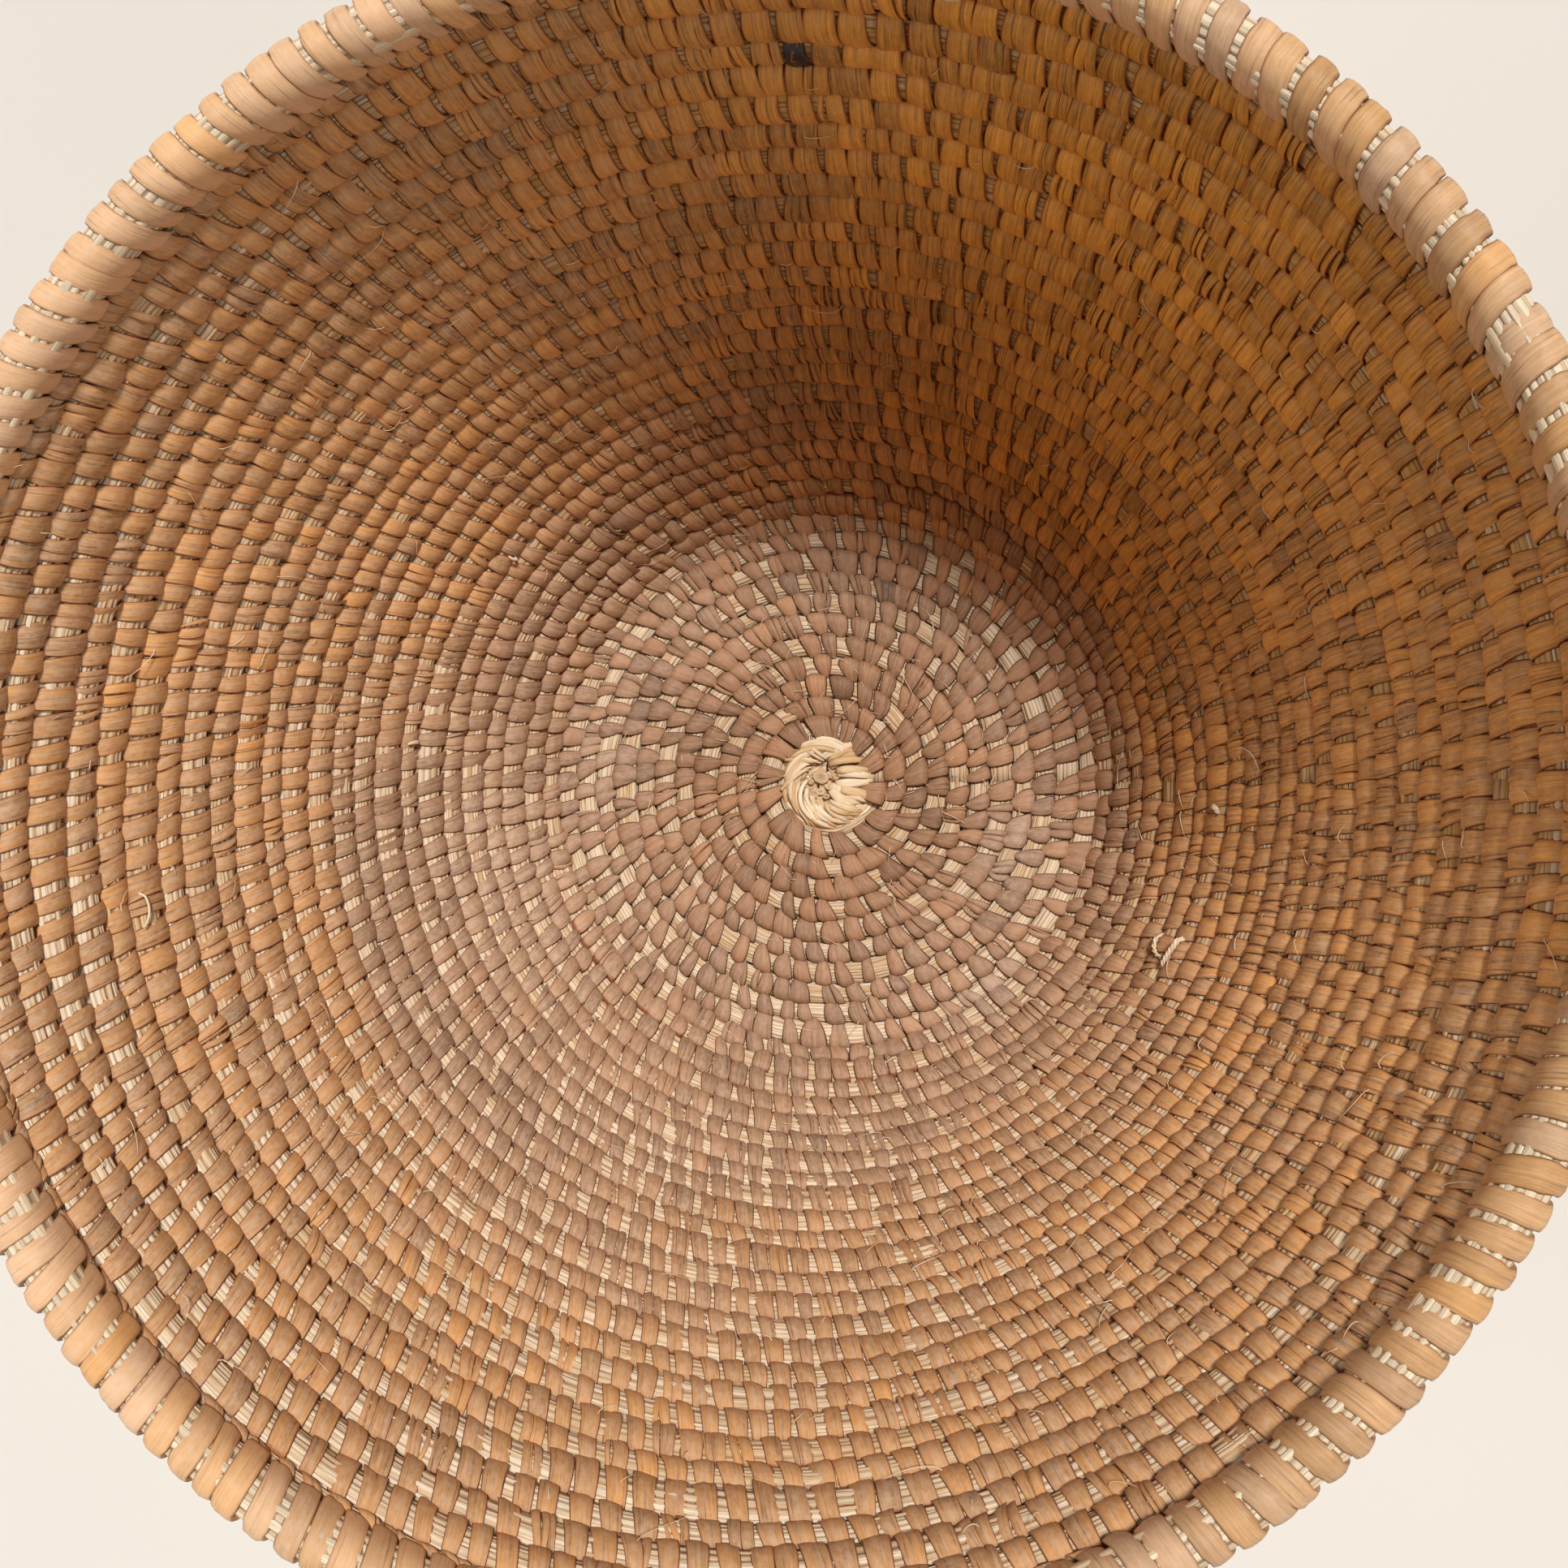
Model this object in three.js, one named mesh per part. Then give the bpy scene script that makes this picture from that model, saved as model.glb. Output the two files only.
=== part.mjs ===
// A round coiled basket: one grass bundle wound in a spiral, flat for the base, bent up at the heel and
// climbing as a flared wall, with a thicker whipped rim on top. Millimetres, +Z up, origin on the table
// under the middle of the base.
import * as THREE from 'three';

// Driving dimensions: lengths in millimetres, slopes in degrees from the table, then counts and shares.
const knotHollow = 0.5;
const basePitch = 4.5;
const wallPitch = 5.4;
const baseThickness = 4.8;
const wallThickness = 5.4;
const footCut = 0.5;
const footWidth = 2.2;
const rowGap = 0.45;
const buttGap = 0.3;
const tailTip = 0.5;
const rimDiameter = 7.2;
const rimSeat = 0.4;
const stripThickness = 0.45;
const wrapCrown = 0.4;
const bindingGap = 0.3;
const heelSlope = 53;
const rimSlope = 78;
const knotTurns = 1.75;
const baseTurns = 10;
const wallTurns = 24;
const wrapCount = 165;
const flareEase = 0.6;
const contactShare = 0.55;
const knotTipShare = 0.6;
const tailTipShare = 0.5;

// Facets: steps in one turn of the bundle, sides of the rim's section, and wraps to one step of its core.
const stepsPerTurn = 24;
const rimSides = 8;
const wrapsPerRimStep = 3;

const { clamp, degToRad, lerp } = THREE.MathUtils;
const halfTurn = stepsPerTurn / 2;
const heelTurns = 1;
const wallStart = baseTurns + heelTurns;
const tailStart = wallStart + wallTurns;
const topEdge = tailStart + 0.5;
const topStep = topEdge * stepsPerTurn;
const rimWraps = Math.round(wrapCount);

// A chord lies inside its arc, so the corners of a faceted turn stand out by half the difference.
const facetSwell = 2 / (1 + Math.cos(Math.PI / stepsPerTurn));

// Slope of the bowl's profile, in radians, after so many turns: flat, bent up along the heel, then steeper
// towards the rim.
function slopeAt(turn) {
  const bent = clamp((turn - baseTurns) / heelTurns, 0, 1);
  const climbed = clamp((turn - wallStart) / (topEdge - wallStart), 0, 1);
  return degToRad(heelSlope * bent + (rimSlope - heelSlope) * climbed ** flareEase);
}

// A size that changes from the base's to the wall's along the heel.
function alongHeel(baseSize, wallSize, turn) {
  return lerp(baseSize, wallSize, clamp((turn - baseTurns) / heelTurns, 0, 1));
}

// The bowl's profile as points (radius, height) at every step of the spiral, summed along the slope from
// half a turn before the knot's tip to half a turn past the wall's end.
const firstStep = -(knotTurns + 0.5) * stepsPerTurn;
const lastStep = (tailStart + 1) * stepsPerTurn + halfTurn;
const profile = [new THREE.Vector2(knotHollow, baseThickness / 2 - footCut)];
for (let step = firstStep; step < lastStep; step += 1) {
  const turn = (step + 0.5) / stepsPerTurn;
  const slope = slopeAt(turn);
  const run = alongHeel(basePitch, wallPitch, turn) / stepsPerTurn;
  const last = profile.at(-1);
  profile.push(new THREE.Vector2(last.x + run * Math.cos(slope), last.y + run * Math.sin(slope)));
}

// Point of the profile at any step, whole or not.
function profileAt(step) {
  const place = step - firstStep;
  const index = clamp(Math.floor(place), 0, profile.length - 2);
  return new THREE.Vector2().lerpVectors(profile[index], profile[index + 1], place - index);
}

// That point moved on along the profile and then square to it, into the bowl.
function profilePoint(step, onward, inward) {
  const slope = slopeAt(step / stepsPerTurn);
  const point = profileAt(step);
  return new THREE.Vector2(
    point.x + onward * Math.cos(slope) - inward * Math.sin(slope),
    point.y + onward * Math.sin(slope) + inward * Math.cos(slope),
  );
}

// Section of the bundle between the joint with the row before it and the joint with the row after it.
// Both flat sides lie square to the profile and half a row gap off the joint, so rows meet face to face.
// What would sink below the table is pressed flat into a foot.
function bundleSection(beforeStep, afterStep, thickness, hasFoot) {
  const contact = (contactShare * thickness) / 2;
  const crownStep = (beforeStep + afterStep) / 2;
  const footEdges = hasFoot ? [footWidth / 2, -footWidth / 2] : [0];
  const section = [
    profilePoint(beforeStep, rowGap / 2, -contact),
    profilePoint(beforeStep, rowGap / 2, contact),
    profilePoint(crownStep, 0, thickness / 2),
    profilePoint(afterStep, -rowGap / 2, contact),
    profilePoint(afterStep, -rowGap / 2, -contact),
    ...footEdges.map((edge) => profilePoint(crownStep, edge, -thickness / 2)),
  ];
  return section.map((point) => new THREE.Vector2(point.x, Math.max(point.y, 0)));
}

// A section turned about the basket's axis.
function ringAt(section, angle, swell = 1) {
  return section.map((point) => new THREE.Vector3(
    point.x * swell * Math.cos(angle),
    point.x * swell * Math.sin(angle),
    point.y,
  ));
}

// Triangles of the band between two rings that start at these vertices and have so many points each.
function bandFaces(first, second, sides) {
  const faces = [];
  for (let side = 0; side < sides; side += 1) {
    const next = (side + 1) % sides;
    faces.push(first + side, second + next, second + side);
    faces.push(first + side, first + next, second + next);
  }
  return faces;
}

function geometryFrom(points, faces) {
  const geometry = new THREE.BufferGeometry().setFromPoints(points);
  geometry.setIndex(faces);
  geometry.computeVertexNormals();
  return geometry;
}

// Closed tube through a list of rings with equal counts of points, with a fan over each end.
function tubeThrough(rings) {
  const sides = rings[0].length;
  const lastRing = (rings.length - 1) * sides;
  const faces = [];
  for (let ring = 0; ring < rings.length - 1; ring += 1) {
    faces.push(...bandFaces(ring * sides, (ring + 1) * sides, sides));
  }
  for (let side = 1; side < sides - 1; side += 1) {
    faces.push(0, side + 1, side);
    faces.push(lastRing, lastRing + side, lastRing + side + 1);
  }
  return geometryFrom(rings.flat(), faces);
}

// Stretch of the spiral bundle between two steps. Each end stands back half a butt gap from the next stretch.
function coilStretch(from, to, sectionAt) {
  const count = Math.round(to - from);
  const rings = [];
  for (let ring = 0; ring <= count; ring += 1) {
    const step = lerp(from, to, ring / count);
    const endSide = Number(ring === 0) - Number(ring === count);
    const setBack = (endSide * buttGap) / 2 / profileAt(step).x;
    const angle = (step / stepsPerTurn) * 2 * Math.PI + setBack;
    rings.push(ringAt(sectionAt(step), angle, facetSwell));
  }
  return tubeThrough(rings);
}

// Section of a whole row. The knot's bundle swells from its cut tip to the size of the sewn rows.
function rowSection(step, hasFoot) {
  const turn = step / stepsPerTurn;
  const grown = clamp(1 + turn / knotTurns, 0, 1);
  const thickness = alongHeel(baseThickness, wallThickness, turn) * lerp(knotTipShare, 1, grown);
  return bundleSection(step - halfTurn, step + halfTurn, thickness, hasFoot);
}

function standingSection(step) {
  return rowSection(step, true);
}

function wallSection(step) {
  return rowSection(step, false);
}

// The tail fills what the last row's climb leaves under the level rim, so it thins as it goes round.
function tailSection(step) {
  const left = 1 - (step - tailStart * stepsPerTurn) / stepsPerTurn;
  return bundleSection(step - halfTurn, topStep, wallThickness * lerp(tailTipShare, 1, left), false);
}

// The rim's bundle lies on the wall's top edge, in line with the wall.
const rimCentre = profilePoint(topStep, rimDiameter / 2 + rimSeat - rowGap / 2, 0);
const boreRadius = rimDiameter / 2 - wrapCrown - stripThickness;
const coreRadius = boreRadius - bindingGap;
const rimSteps = Math.round(rimWraps / wrapsPerRimStep);

function rimSection(radius) {
  const corner = (2 * Math.PI) / rimSides;
  const section = [];
  for (let side = 0; side < rimSides; side += 1) {
    const spoke = new THREE.Vector2(radius, 0).rotateAround(new THREE.Vector2(), -side * corner);
    section.push(spoke.add(rimCentre));
  }
  return section;
}

// Rings round the rim, from just past the start of its turn to just before its end.
function rimRings(count, radiusAt) {
  const setBack = buttGap / 2 / rimCentre.x;
  const rings = [];
  for (let ring = 0; ring <= count; ring += 1) {
    const angle = lerp(setBack, 2 * Math.PI - setBack, ring / count);
    rings.push(ringAt(rimSection(radiusAt(ring)), angle));
  }
  return rings;
}

function rimCore() {
  return tubeThrough(rimRings(rimSteps, () => coreRadius));
}

// The binding is a sleeve: each wrap is a crowned rib with a groove on either side, round a plain bore.
function rimSleeve() {
  const grooveRadius = boreRadius + stripThickness;
  const crownRadius = grooveRadius + wrapCrown;
  const outer = rimRings(rimWraps * 2, (ring) => (ring % 2 === 0 ? grooveRadius : crownRadius));
  const bore = rimRings(rimSteps, () => boreRadius);
  const boreStart = outer.length * rimSides;
  const boreEnd = boreStart + rimSteps * rimSides;
  const faces = [];
  for (let ring = 0; ring < outer.length - 1; ring += 1) {
    faces.push(...bandFaces(ring * rimSides, (ring + 1) * rimSides, rimSides));
  }
  for (let ring = 0; ring < rimSteps; ring += 1) {
    const here = boreStart + ring * rimSides;
    faces.push(...bandFaces(here + rimSides, here, rimSides));
  }
  faces.push(...bandFaces(boreStart, 0, rimSides));
  faces.push(...bandFaces((outer.length - 1) * rimSides, boreEnd, rimSides));
  return geometryFrom([...outer, ...bore].flat(), faces);
}

// Least gap between a row and the row after it, measured between the points of their sections.
function leastRowGap() {
  let least = Infinity;
  for (let step = -knotTurns * stepsPerTurn; step <= (tailStart - 1) * stepsPerTurn; step += 1) {
    const next = wallSection(step + stepsPerTurn);
    wallSection(step).forEach((point) => {
      least = Math.min(least, ...next.map((other) => point.distanceTo(other)));
    });
  }
  return least;
}

function leaf(color) {
  return new THREE.MeshStandardMaterial({ color, roughness: 0.68, metalness: 0 });
}

function grass(color) {
  return new THREE.MeshStandardMaterial({ color, roughness: 0.8, metalness: 0 });
}

const bareGrass = 0xd8bb86;
const rimGrass = 0xcda870;
const dustyLeaf = 0xa8795a;
const warmLeaf = 0xb47842;
const rimLeaf = 0xc08c60;

const basket = new THREE.Group();

function addPiece(name, geometry, material) {
  const mesh = new THREE.Mesh(geometry, material);
  mesh.name = name;
  basket.add(mesh);
}

function turnName(stem, number) {
  return `${stem}_${String(number).padStart(2, '0')}`;
}

function oneTurn(startTurn, sectionAt) {
  return coilStretch(startTurn * stepsPerTurn, (startTurn + 1) * stepsPerTurn, sectionAt);
}

addPiece('start_knot', coilStretch(-knotTurns * stepsPerTurn, 0, standingSection), grass(bareGrass));
for (let turn = 0; turn < baseTurns; turn += 1) {
  addPiece(turnName('base_coil', turn + 1), oneTurn(turn, standingSection), leaf(dustyLeaf));
}
addPiece('heel_coil', oneTurn(baseTurns, standingSection), leaf(dustyLeaf));
for (let turn = 0; turn < wallTurns; turn += 1) {
  addPiece(turnName('wall_coil', turn + 1), oneTurn(wallStart + turn, wallSection), leaf(warmLeaf));
}

// The tail ends where it is only as thick as its tip.
const tailShare = 1 - (tailTip + rowGap) / wallPitch;
const tailFrom = tailStart * stepsPerTurn;
const tailTo = tailFrom + stepsPerTurn * tailShare;
addPiece('wall_coil_tail', coilStretch(tailFrom, tailTo, tailSection), leaf(warmLeaf));
addPiece('rim_coil', rimCore(), grass(rimGrass));
addPiece('rim_binding', rimSleeve(), leaf(rimLeaf));

console.log(`least gap between rows ${leastRowGap().toFixed(2)} mm`);

export default basket;
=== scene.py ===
"""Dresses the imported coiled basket: grass bundles, sewn leaf strips, whipped rim, start knot and a studio."""

import logging
import math
from dataclasses import dataclass
from enum import Enum
from functools import cached_property

import bpy
import numpy as np
from mathutils import Matrix, Vector


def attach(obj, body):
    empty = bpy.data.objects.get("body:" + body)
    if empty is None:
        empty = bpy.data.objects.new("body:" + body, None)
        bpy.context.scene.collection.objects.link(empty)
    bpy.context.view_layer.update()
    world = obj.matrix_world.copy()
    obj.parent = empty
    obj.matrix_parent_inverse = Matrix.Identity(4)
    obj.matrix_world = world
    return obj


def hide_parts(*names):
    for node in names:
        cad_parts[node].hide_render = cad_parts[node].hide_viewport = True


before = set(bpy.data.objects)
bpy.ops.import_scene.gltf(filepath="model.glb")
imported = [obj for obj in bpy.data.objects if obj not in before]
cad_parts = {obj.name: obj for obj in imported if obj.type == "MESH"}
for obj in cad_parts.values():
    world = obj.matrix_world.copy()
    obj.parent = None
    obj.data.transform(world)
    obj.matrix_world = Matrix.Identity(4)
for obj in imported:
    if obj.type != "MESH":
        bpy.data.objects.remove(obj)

MM = 0.001
FULL_TURN = 2 * math.pi
BODY = "root"
BAKE_MAP = "OFBake"

Array = np.ndarray
Colour = tuple[float, float, float]
Region = tuple[float, float, float, float]
Span = tuple[float, float]
Setting = str | int | float | bool
WHOLE: Region = (0.0, 0.0, 1.0, 1.0)
WARM_WHITE: Colour = (1.0, 0.97, 0.93)
log = logging.getLogger("basket")


def ease(value: Array | float) -> Array:
    """Rises smoothly from 0 to 1 as the value does.

    Args:
        value: The share of the way, which may lie outside 0 to 1.

    Returns:
        The eased share.
    """
    share = np.clip(value, 0.0, 1.0)
    return share * share * (3.0 - 2.0 * share)


def mixed(first: Array | float, second: Array | float, share: Array | float) -> Array:
    """Goes from the first value to the second by a share."""
    return first + (second - first) * share


def risen(turn: Array | float, start: float, rows: float) -> Array:
    """How far on from a start over so many rows a number of turns lies, eased from 0 to 1."""
    return ease((turn - start) / rows)


def facing(turn: Array, degrees: float) -> Array:
    """1 on the side of the bowl that lies at so many degrees, -1 across from it."""
    return np.cos(FULL_TURN * np.asarray(turn) - math.radians(degrees))


def aside(turn: Array, degrees: float) -> Array:
    """Degrees round the bowl, -180 to 180, from the side that lies at so many degrees."""
    return (360.0 * turn - degrees + 180.0) % 360.0 - 180.0


def stacked(*parts: Array | float) -> Array:
    """Joins values that fit each other into vectors, along a new last axis."""
    return np.stack(np.broadcast_arrays(*parts), axis=-1)


def unit(vectors: Array) -> Array:
    """Vectors of length 1 in the same directions."""
    return vectors / np.maximum(np.linalg.norm(vectors, axis=-1, keepdims=True), 1e-9)


def ring_angles(count: int) -> Array:
    """Angles of so many points that stand evenly round a ring."""
    return FULL_TURN * np.arange(count) / count


def walked(angle: Array, stride: Array | float) -> tuple[Array, Array]:
    """How far paths have come along the row and onward from it at each step."""
    return np.cumsum(np.cos(angle), axis=1) * stride, np.cumsum(np.sin(angle), axis=1) * stride


def linked(name: str, data: bpy.types.ID) -> bpy.types.Object:
    """Makes an object of a mesh, a light or a camera and links it to the scene."""
    made = bpy.data.objects.new(name, data)
    bpy.context.scene.collection.objects.link(made)
    return made


class Shade:
    """A socket of a shader tree that takes part in sums with numbers and with other sockets."""

    def __init__(self, tree: "ShaderTree", socket: bpy.types.NodeSocket) -> None:
        """Wraps one output socket of a tree."""
        self.tree = tree
        self.socket = socket

    def __add__(self, other: "Shade | float") -> "Shade":
        """Adds a Math node for a sum."""
        return self.tree.maths("ADD", self, other)

    def __radd__(self, other: float) -> "Shade":
        """Adds a Math node for a sum that starts with a number."""
        return self.tree.maths("ADD", other, self)

    def __sub__(self, other: "Shade | float") -> "Shade":
        """Adds a Math node for a difference."""
        return self.tree.maths("SUBTRACT", self, other)

    def __rsub__(self, other: float) -> "Shade":
        """Adds a Math node for a number less this value."""
        return self.tree.maths("SUBTRACT", other, self)

    def __mul__(self, other: "Shade | float") -> "Shade":
        """Adds a Math node for a product."""
        return self.tree.maths("MULTIPLY", self, other)

    def __rmul__(self, other: float) -> "Shade":
        """Adds a Math node for a product that starts with a number."""
        return self.tree.maths("MULTIPLY", other, self)

    def __pow__(self, other: float) -> "Shade":
        """Adds a Math node for a power."""
        return self.tree.maths("POWER", self, other)


class ShaderTree:
    """A node tree that is filled from Python expressions."""

    def __init__(self, tree: bpy.types.NodeTree) -> None:
        """Takes an empty or new node tree and clears it."""
        self.tree = tree
        self.tree.nodes.clear()

    @classmethod
    def of_material(cls, name: str) -> tuple[bpy.types.Material, "ShaderTree"]:
        """Starts a new material of that name.

        Args:
            name: The material's name.

        Returns:
            The material and its empty tree.
        """
        made = bpy.data.materials.new(name)
        made.use_nodes = True
        return made, cls(made.node_tree)

    def node(self, kind: str, settings: dict[str, Setting], sockets: dict[str, object]) -> bpy.types.Node:
        """Adds any node: its settings first, then the values or links of its sockets.

        Args:
            kind: Blender's type name of the node.
            settings: Properties of the node.
            sockets: Values, wrapped sockets or plain sockets by the input's identifier or name.

        Returns:
            The new node.
        """
        made = self.tree.nodes.new(kind)
        for key, value in settings.items():
            setattr(made, key, value)
        for key, value in sockets.items():
            target = next(s for s in made.inputs if key in (s.identifier, s.name))
            if isinstance(value, Shade):
                self.tree.links.new(value.socket, target)
            elif isinstance(value, bpy.types.NodeSocket):
                self.tree.links.new(value, target)
            else:
                target.default_value = value
        return made

    def shade(
        self, kind: str, output: str, settings: dict[str, Setting], sockets: dict[str, object]
    ) -> Shade:
        """Adds a node and returns one of its outputs.

        Args:
            kind: Blender's type name of the node.
            output: Identifier or name of the output.
            settings: Properties of the node.
            sockets: Values or links of its inputs.

        Returns:
            The wrapped output.
        """
        made = self.node(kind, settings, sockets)
        found = next(s for s in made.outputs if output in (s.identifier, s.name))
        return Shade(self, found)

    def maths(self, operation: str, first: "Shade | float", second: "Shade | float") -> Shade:
        """Adds a Math node on two values."""
        return self.shade(
            "ShaderNodeMath", "Value", {"operation": operation}, {"Value": first, "Value_001": second}
        )

    def limited(self, value: Shade) -> Shade:
        """Keeps a value between 0 and 1."""
        return self.shade("ShaderNodeClamp", "Result", {}, {"Value": value, "Min": 0.0, "Max": 1.0})

    def ramped(self, value: Shade, low: float, high: float) -> Shade:
        """Rises smoothly from 0 to 1 as the value goes from low to high."""
        return self.shade(
            "ShaderNodeMapRange",
            "Result",
            {"interpolation_type": "SMOOTHSTEP"},
            {"Value": value, "From Min": low, "From Max": high, "To Min": 0.0, "To Max": 1.0},
        )

    def blend(self, share: "Shade | float", first: "Shade | Colour", second: "Shade | Colour") -> Shade:
        """Mixes two colours, by a share that is 0 for the first and 1 for the second."""
        return self.colours("MIX", share, first, second)

    def tinted(self, colour: "Shade | Colour", strength: Shade) -> Shade:
        """Multiplies a colour by a value."""
        return self.colours("MULTIPLY", 1.0, colour, strength)

    def colours(
        self, way: str, share: "Shade | float", first: "Shade | Colour", second: "Shade | Colour"
    ) -> Shade:
        """Adds a colour Mix node.

        Args:
            way: The node's blend type.
            share: Its factor.
            first: The lower colour.
            second: The upper colour.

        Returns:
            The resulting colour.
        """
        solid = [(*c, 1.0) if isinstance(c, tuple) else c for c in (first, second)]
        return self.shade(
            "ShaderNodeMix",
            "Result_Color",
            {"data_type": "RGBA", "blend_type": way},
            {"Factor_Float": share, "A_Color": solid[0], "B_Color": solid[1]},
        )

    def attribute(self, name: str, output: str) -> Shade:
        """Reads a value that the mesh carries on its points."""
        return self.shade("ShaderNodeAttribute", output, {"attribute_name": name}, {})

    def stretched(self, vector: Shade, scale: tuple[float, float, float]) -> Shade:
        """Multiplies a vector by a scale, part by part."""
        sockets = {"Vector": vector, "Vector_001": scale}
        return self.shade("ShaderNodeVectorMath", "Vector", {"operation": "MULTIPLY"}, sockets)

    def noise(self, vector: Shade, detail: float, roughness: float) -> Shade:
        """Cloudy noise at one feature to a unit of the vector."""
        return self.shade(
            "ShaderNodeTexNoise",
            "Fac",
            {"noise_dimensions": "3D"},
            {"Vector": vector, "Scale": 1.0, "Detail": detail, "Roughness": roughness},
        )

    def parts(self, vector: Shade) -> tuple[Shade, Shade, Shade]:
        """Splits a vector into its three values."""
        made = self.node("ShaderNodeSeparateXYZ", {}, {"Vector": vector})
        return tuple(Shade(self, made.outputs[axis]) for axis in ("X", "Y", "Z"))

    def bumped(self, height: Shade, depth: float, strength: float) -> Shade:
        """Turns a height from 0 to 1 into a normal, for a relief of so many metres."""
        return self.shade(
            "ShaderNodeBump", "Normal", {}, {"Height": height, "Distance": depth, "Strength": strength}
        )

    def surfaced(self, sockets: dict[str, object]) -> None:
        """Ends a material with a surface that has those values and links."""
        surface = self.node("ShaderNodeBsdfPrincipled", {}, sockets)
        self.node("ShaderNodeOutputMaterial", {}, {"Surface": surface.outputs["BSDF"]})


@dataclass(frozen=True)
class Grain:
    """Cloudy noise drawn out along a fibre: features to a millimetre, detail and roughness."""

    scale: tuple[float, float, float]
    detail: float
    roughness: float = 0.55

    def over(self, tree: ShaderTree, place: Shade) -> Shade:
        """Draws the grain over the places of a surface."""
        return tree.noise(tree.stretched(place, self.scale), self.detail, self.roughness)


@dataclass(frozen=True)
class LeafFinish:
    """A sewn leaf strip: satin, streaked along its length, with painted shade at its edges and tucked ends,
    pale dust with a painted highlight on its crown, and a painted highlight line inside its edges.
    """

    name: str
    warm: Colour
    dusty: Colour
    # edge: painted shade, the colour laid on a strip's edges and on its ends where they dive into the crevice
    # between rows
    edge: Colour
    dust_and_painted_light: Colour
    stain: Colour
    roughness: float
    gloss: float
    edge_shade_share: float
    streaked: float = 1.0
    hair_grain: Grain = Grain((11.0, 0.22, 1.0), 3.0, 0.65)
    vein_grain: Grain = Grain((2.6, 0.1, 1.0), 2.5, 0.6)
    fleck_grain: Grain = Grain((1.1, 0.8, 1.0), 4.0, 0.7)
    score_range: Span = (0.4, 0.28)
    hair_streak: float = 1.1
    vein_streak: float = 1.2
    fleck_streak: float = 0.6
    score_streak: float = 0.22
    edge_shade_power: float = 7.0
    fleck_range: Span = (0.35, 0.7)
    plain_dust: float = 0.55
    fleck_dust: float = 0.6
    side_dust: float = 0.08
    # extra dust and painted highlight on a strip's crown
    crown_dust_and_highlight: float = 1.02
    # painted highlight: a pale line just inside each strip edge, in the dust colour, only where dust lies
    edge_highlight_from: Span = (0.6, 0.8)
    edge_highlight_until: Span = (0.97, 0.86)
    edge_highlight_share: float = 0.5
    stain_range: Span = (0.4, 0.66)
    stain_growth: float = 0.12
    vein_roughness: float = 0.3
    dust_roughness: float = 0.25
    hair_relief: float = 0.45
    vein_relief: float = 0.55
    score_relief: float = 0.3
    relief_depth: float = 0.22 * MM
    relief_strength: float = 0.7

    def material(self) -> bpy.types.Material:
        """Builds the finish from the values that the strips carry.

        Returns:
            The material.
        """
        made, tree = ShaderTree.of_material(self.name)
        fibre = tree.attribute("fibre", "Vector")
        # the third value is dust with painted light: pale on the bowl's lit side
        tone, warmth, dust_and_painted_light = tree.parts(tree.attribute("look", "Vector"))
        edge = tree.attribute("edge", "Fac")
        stain = tree.attribute("stain", "Fac")
        grains = (self.hair_grain, self.vein_grain, self.fleck_grain)
        hairs, veins, flecks = (grain.over(tree, fibre) for grain in grains)
        scores = tree.ramped(veins, *self.score_range)
        streaks = (hairs - 0.5) * self.hair_streak + (veins - 0.5) * self.vein_streak
        streaks = streaks + (flecks - 0.5) * self.fleck_streak - scores * self.score_streak
        leaf = tree.blend(warmth, self.dusty, self.warm)
        leaf = tree.tinted(leaf, tone + streaks * self.streaked)
        # painted shade on the strip's edges and tucked ends
        leaf = tree.blend(tree.limited(edge**self.edge_shade_power) * self.edge_shade_share, leaf, self.edge)
        # dust with painted highlight: the pale colour gathers on the strip's crown, so the crown reads lighter
        # than its edges
        crown = self.side_dust + tree.limited(1.0 - edge * edge) * self.crown_dust_and_highlight
        flecked = self.plain_dust + tree.ramped(flecks, *self.fleck_range) * self.fleck_dust
        dust_and_highlight = tree.limited(flecked * dust_and_painted_light * crown)
        leaf = tree.blend(dust_and_highlight, leaf, self.dust_and_painted_light)
        # painted highlight: a pale line just inside the strip's edges, laid where dust lies
        edge_highlight = tree.ramped(edge, *self.edge_highlight_from) * tree.ramped(edge, *self.edge_highlight_until)
        leaf = tree.blend(tree.limited(edge_highlight * dust_and_painted_light * self.edge_highlight_share), leaf, self.dust_and_painted_light)
        stained = stain * tree.ramped(flecks + stain * self.stain_growth, *self.stain_range)
        leaf = tree.blend(tree.limited(stained), leaf, self.stain)
        rough = self.roughness + (veins - 0.5) * self.vein_roughness + dust_and_highlight * self.dust_roughness
        relief = hairs * self.hair_relief + veins * self.vein_relief - scores * self.score_relief
        tree.surfaced(
            {
                "Base Color": leaf,
                "Roughness": tree.limited(rough),
                "Normal": tree.bumped(relief, self.relief_depth, self.relief_strength),
                "Specular IOR Level": self.gloss,
            }
        )
        return made


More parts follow.
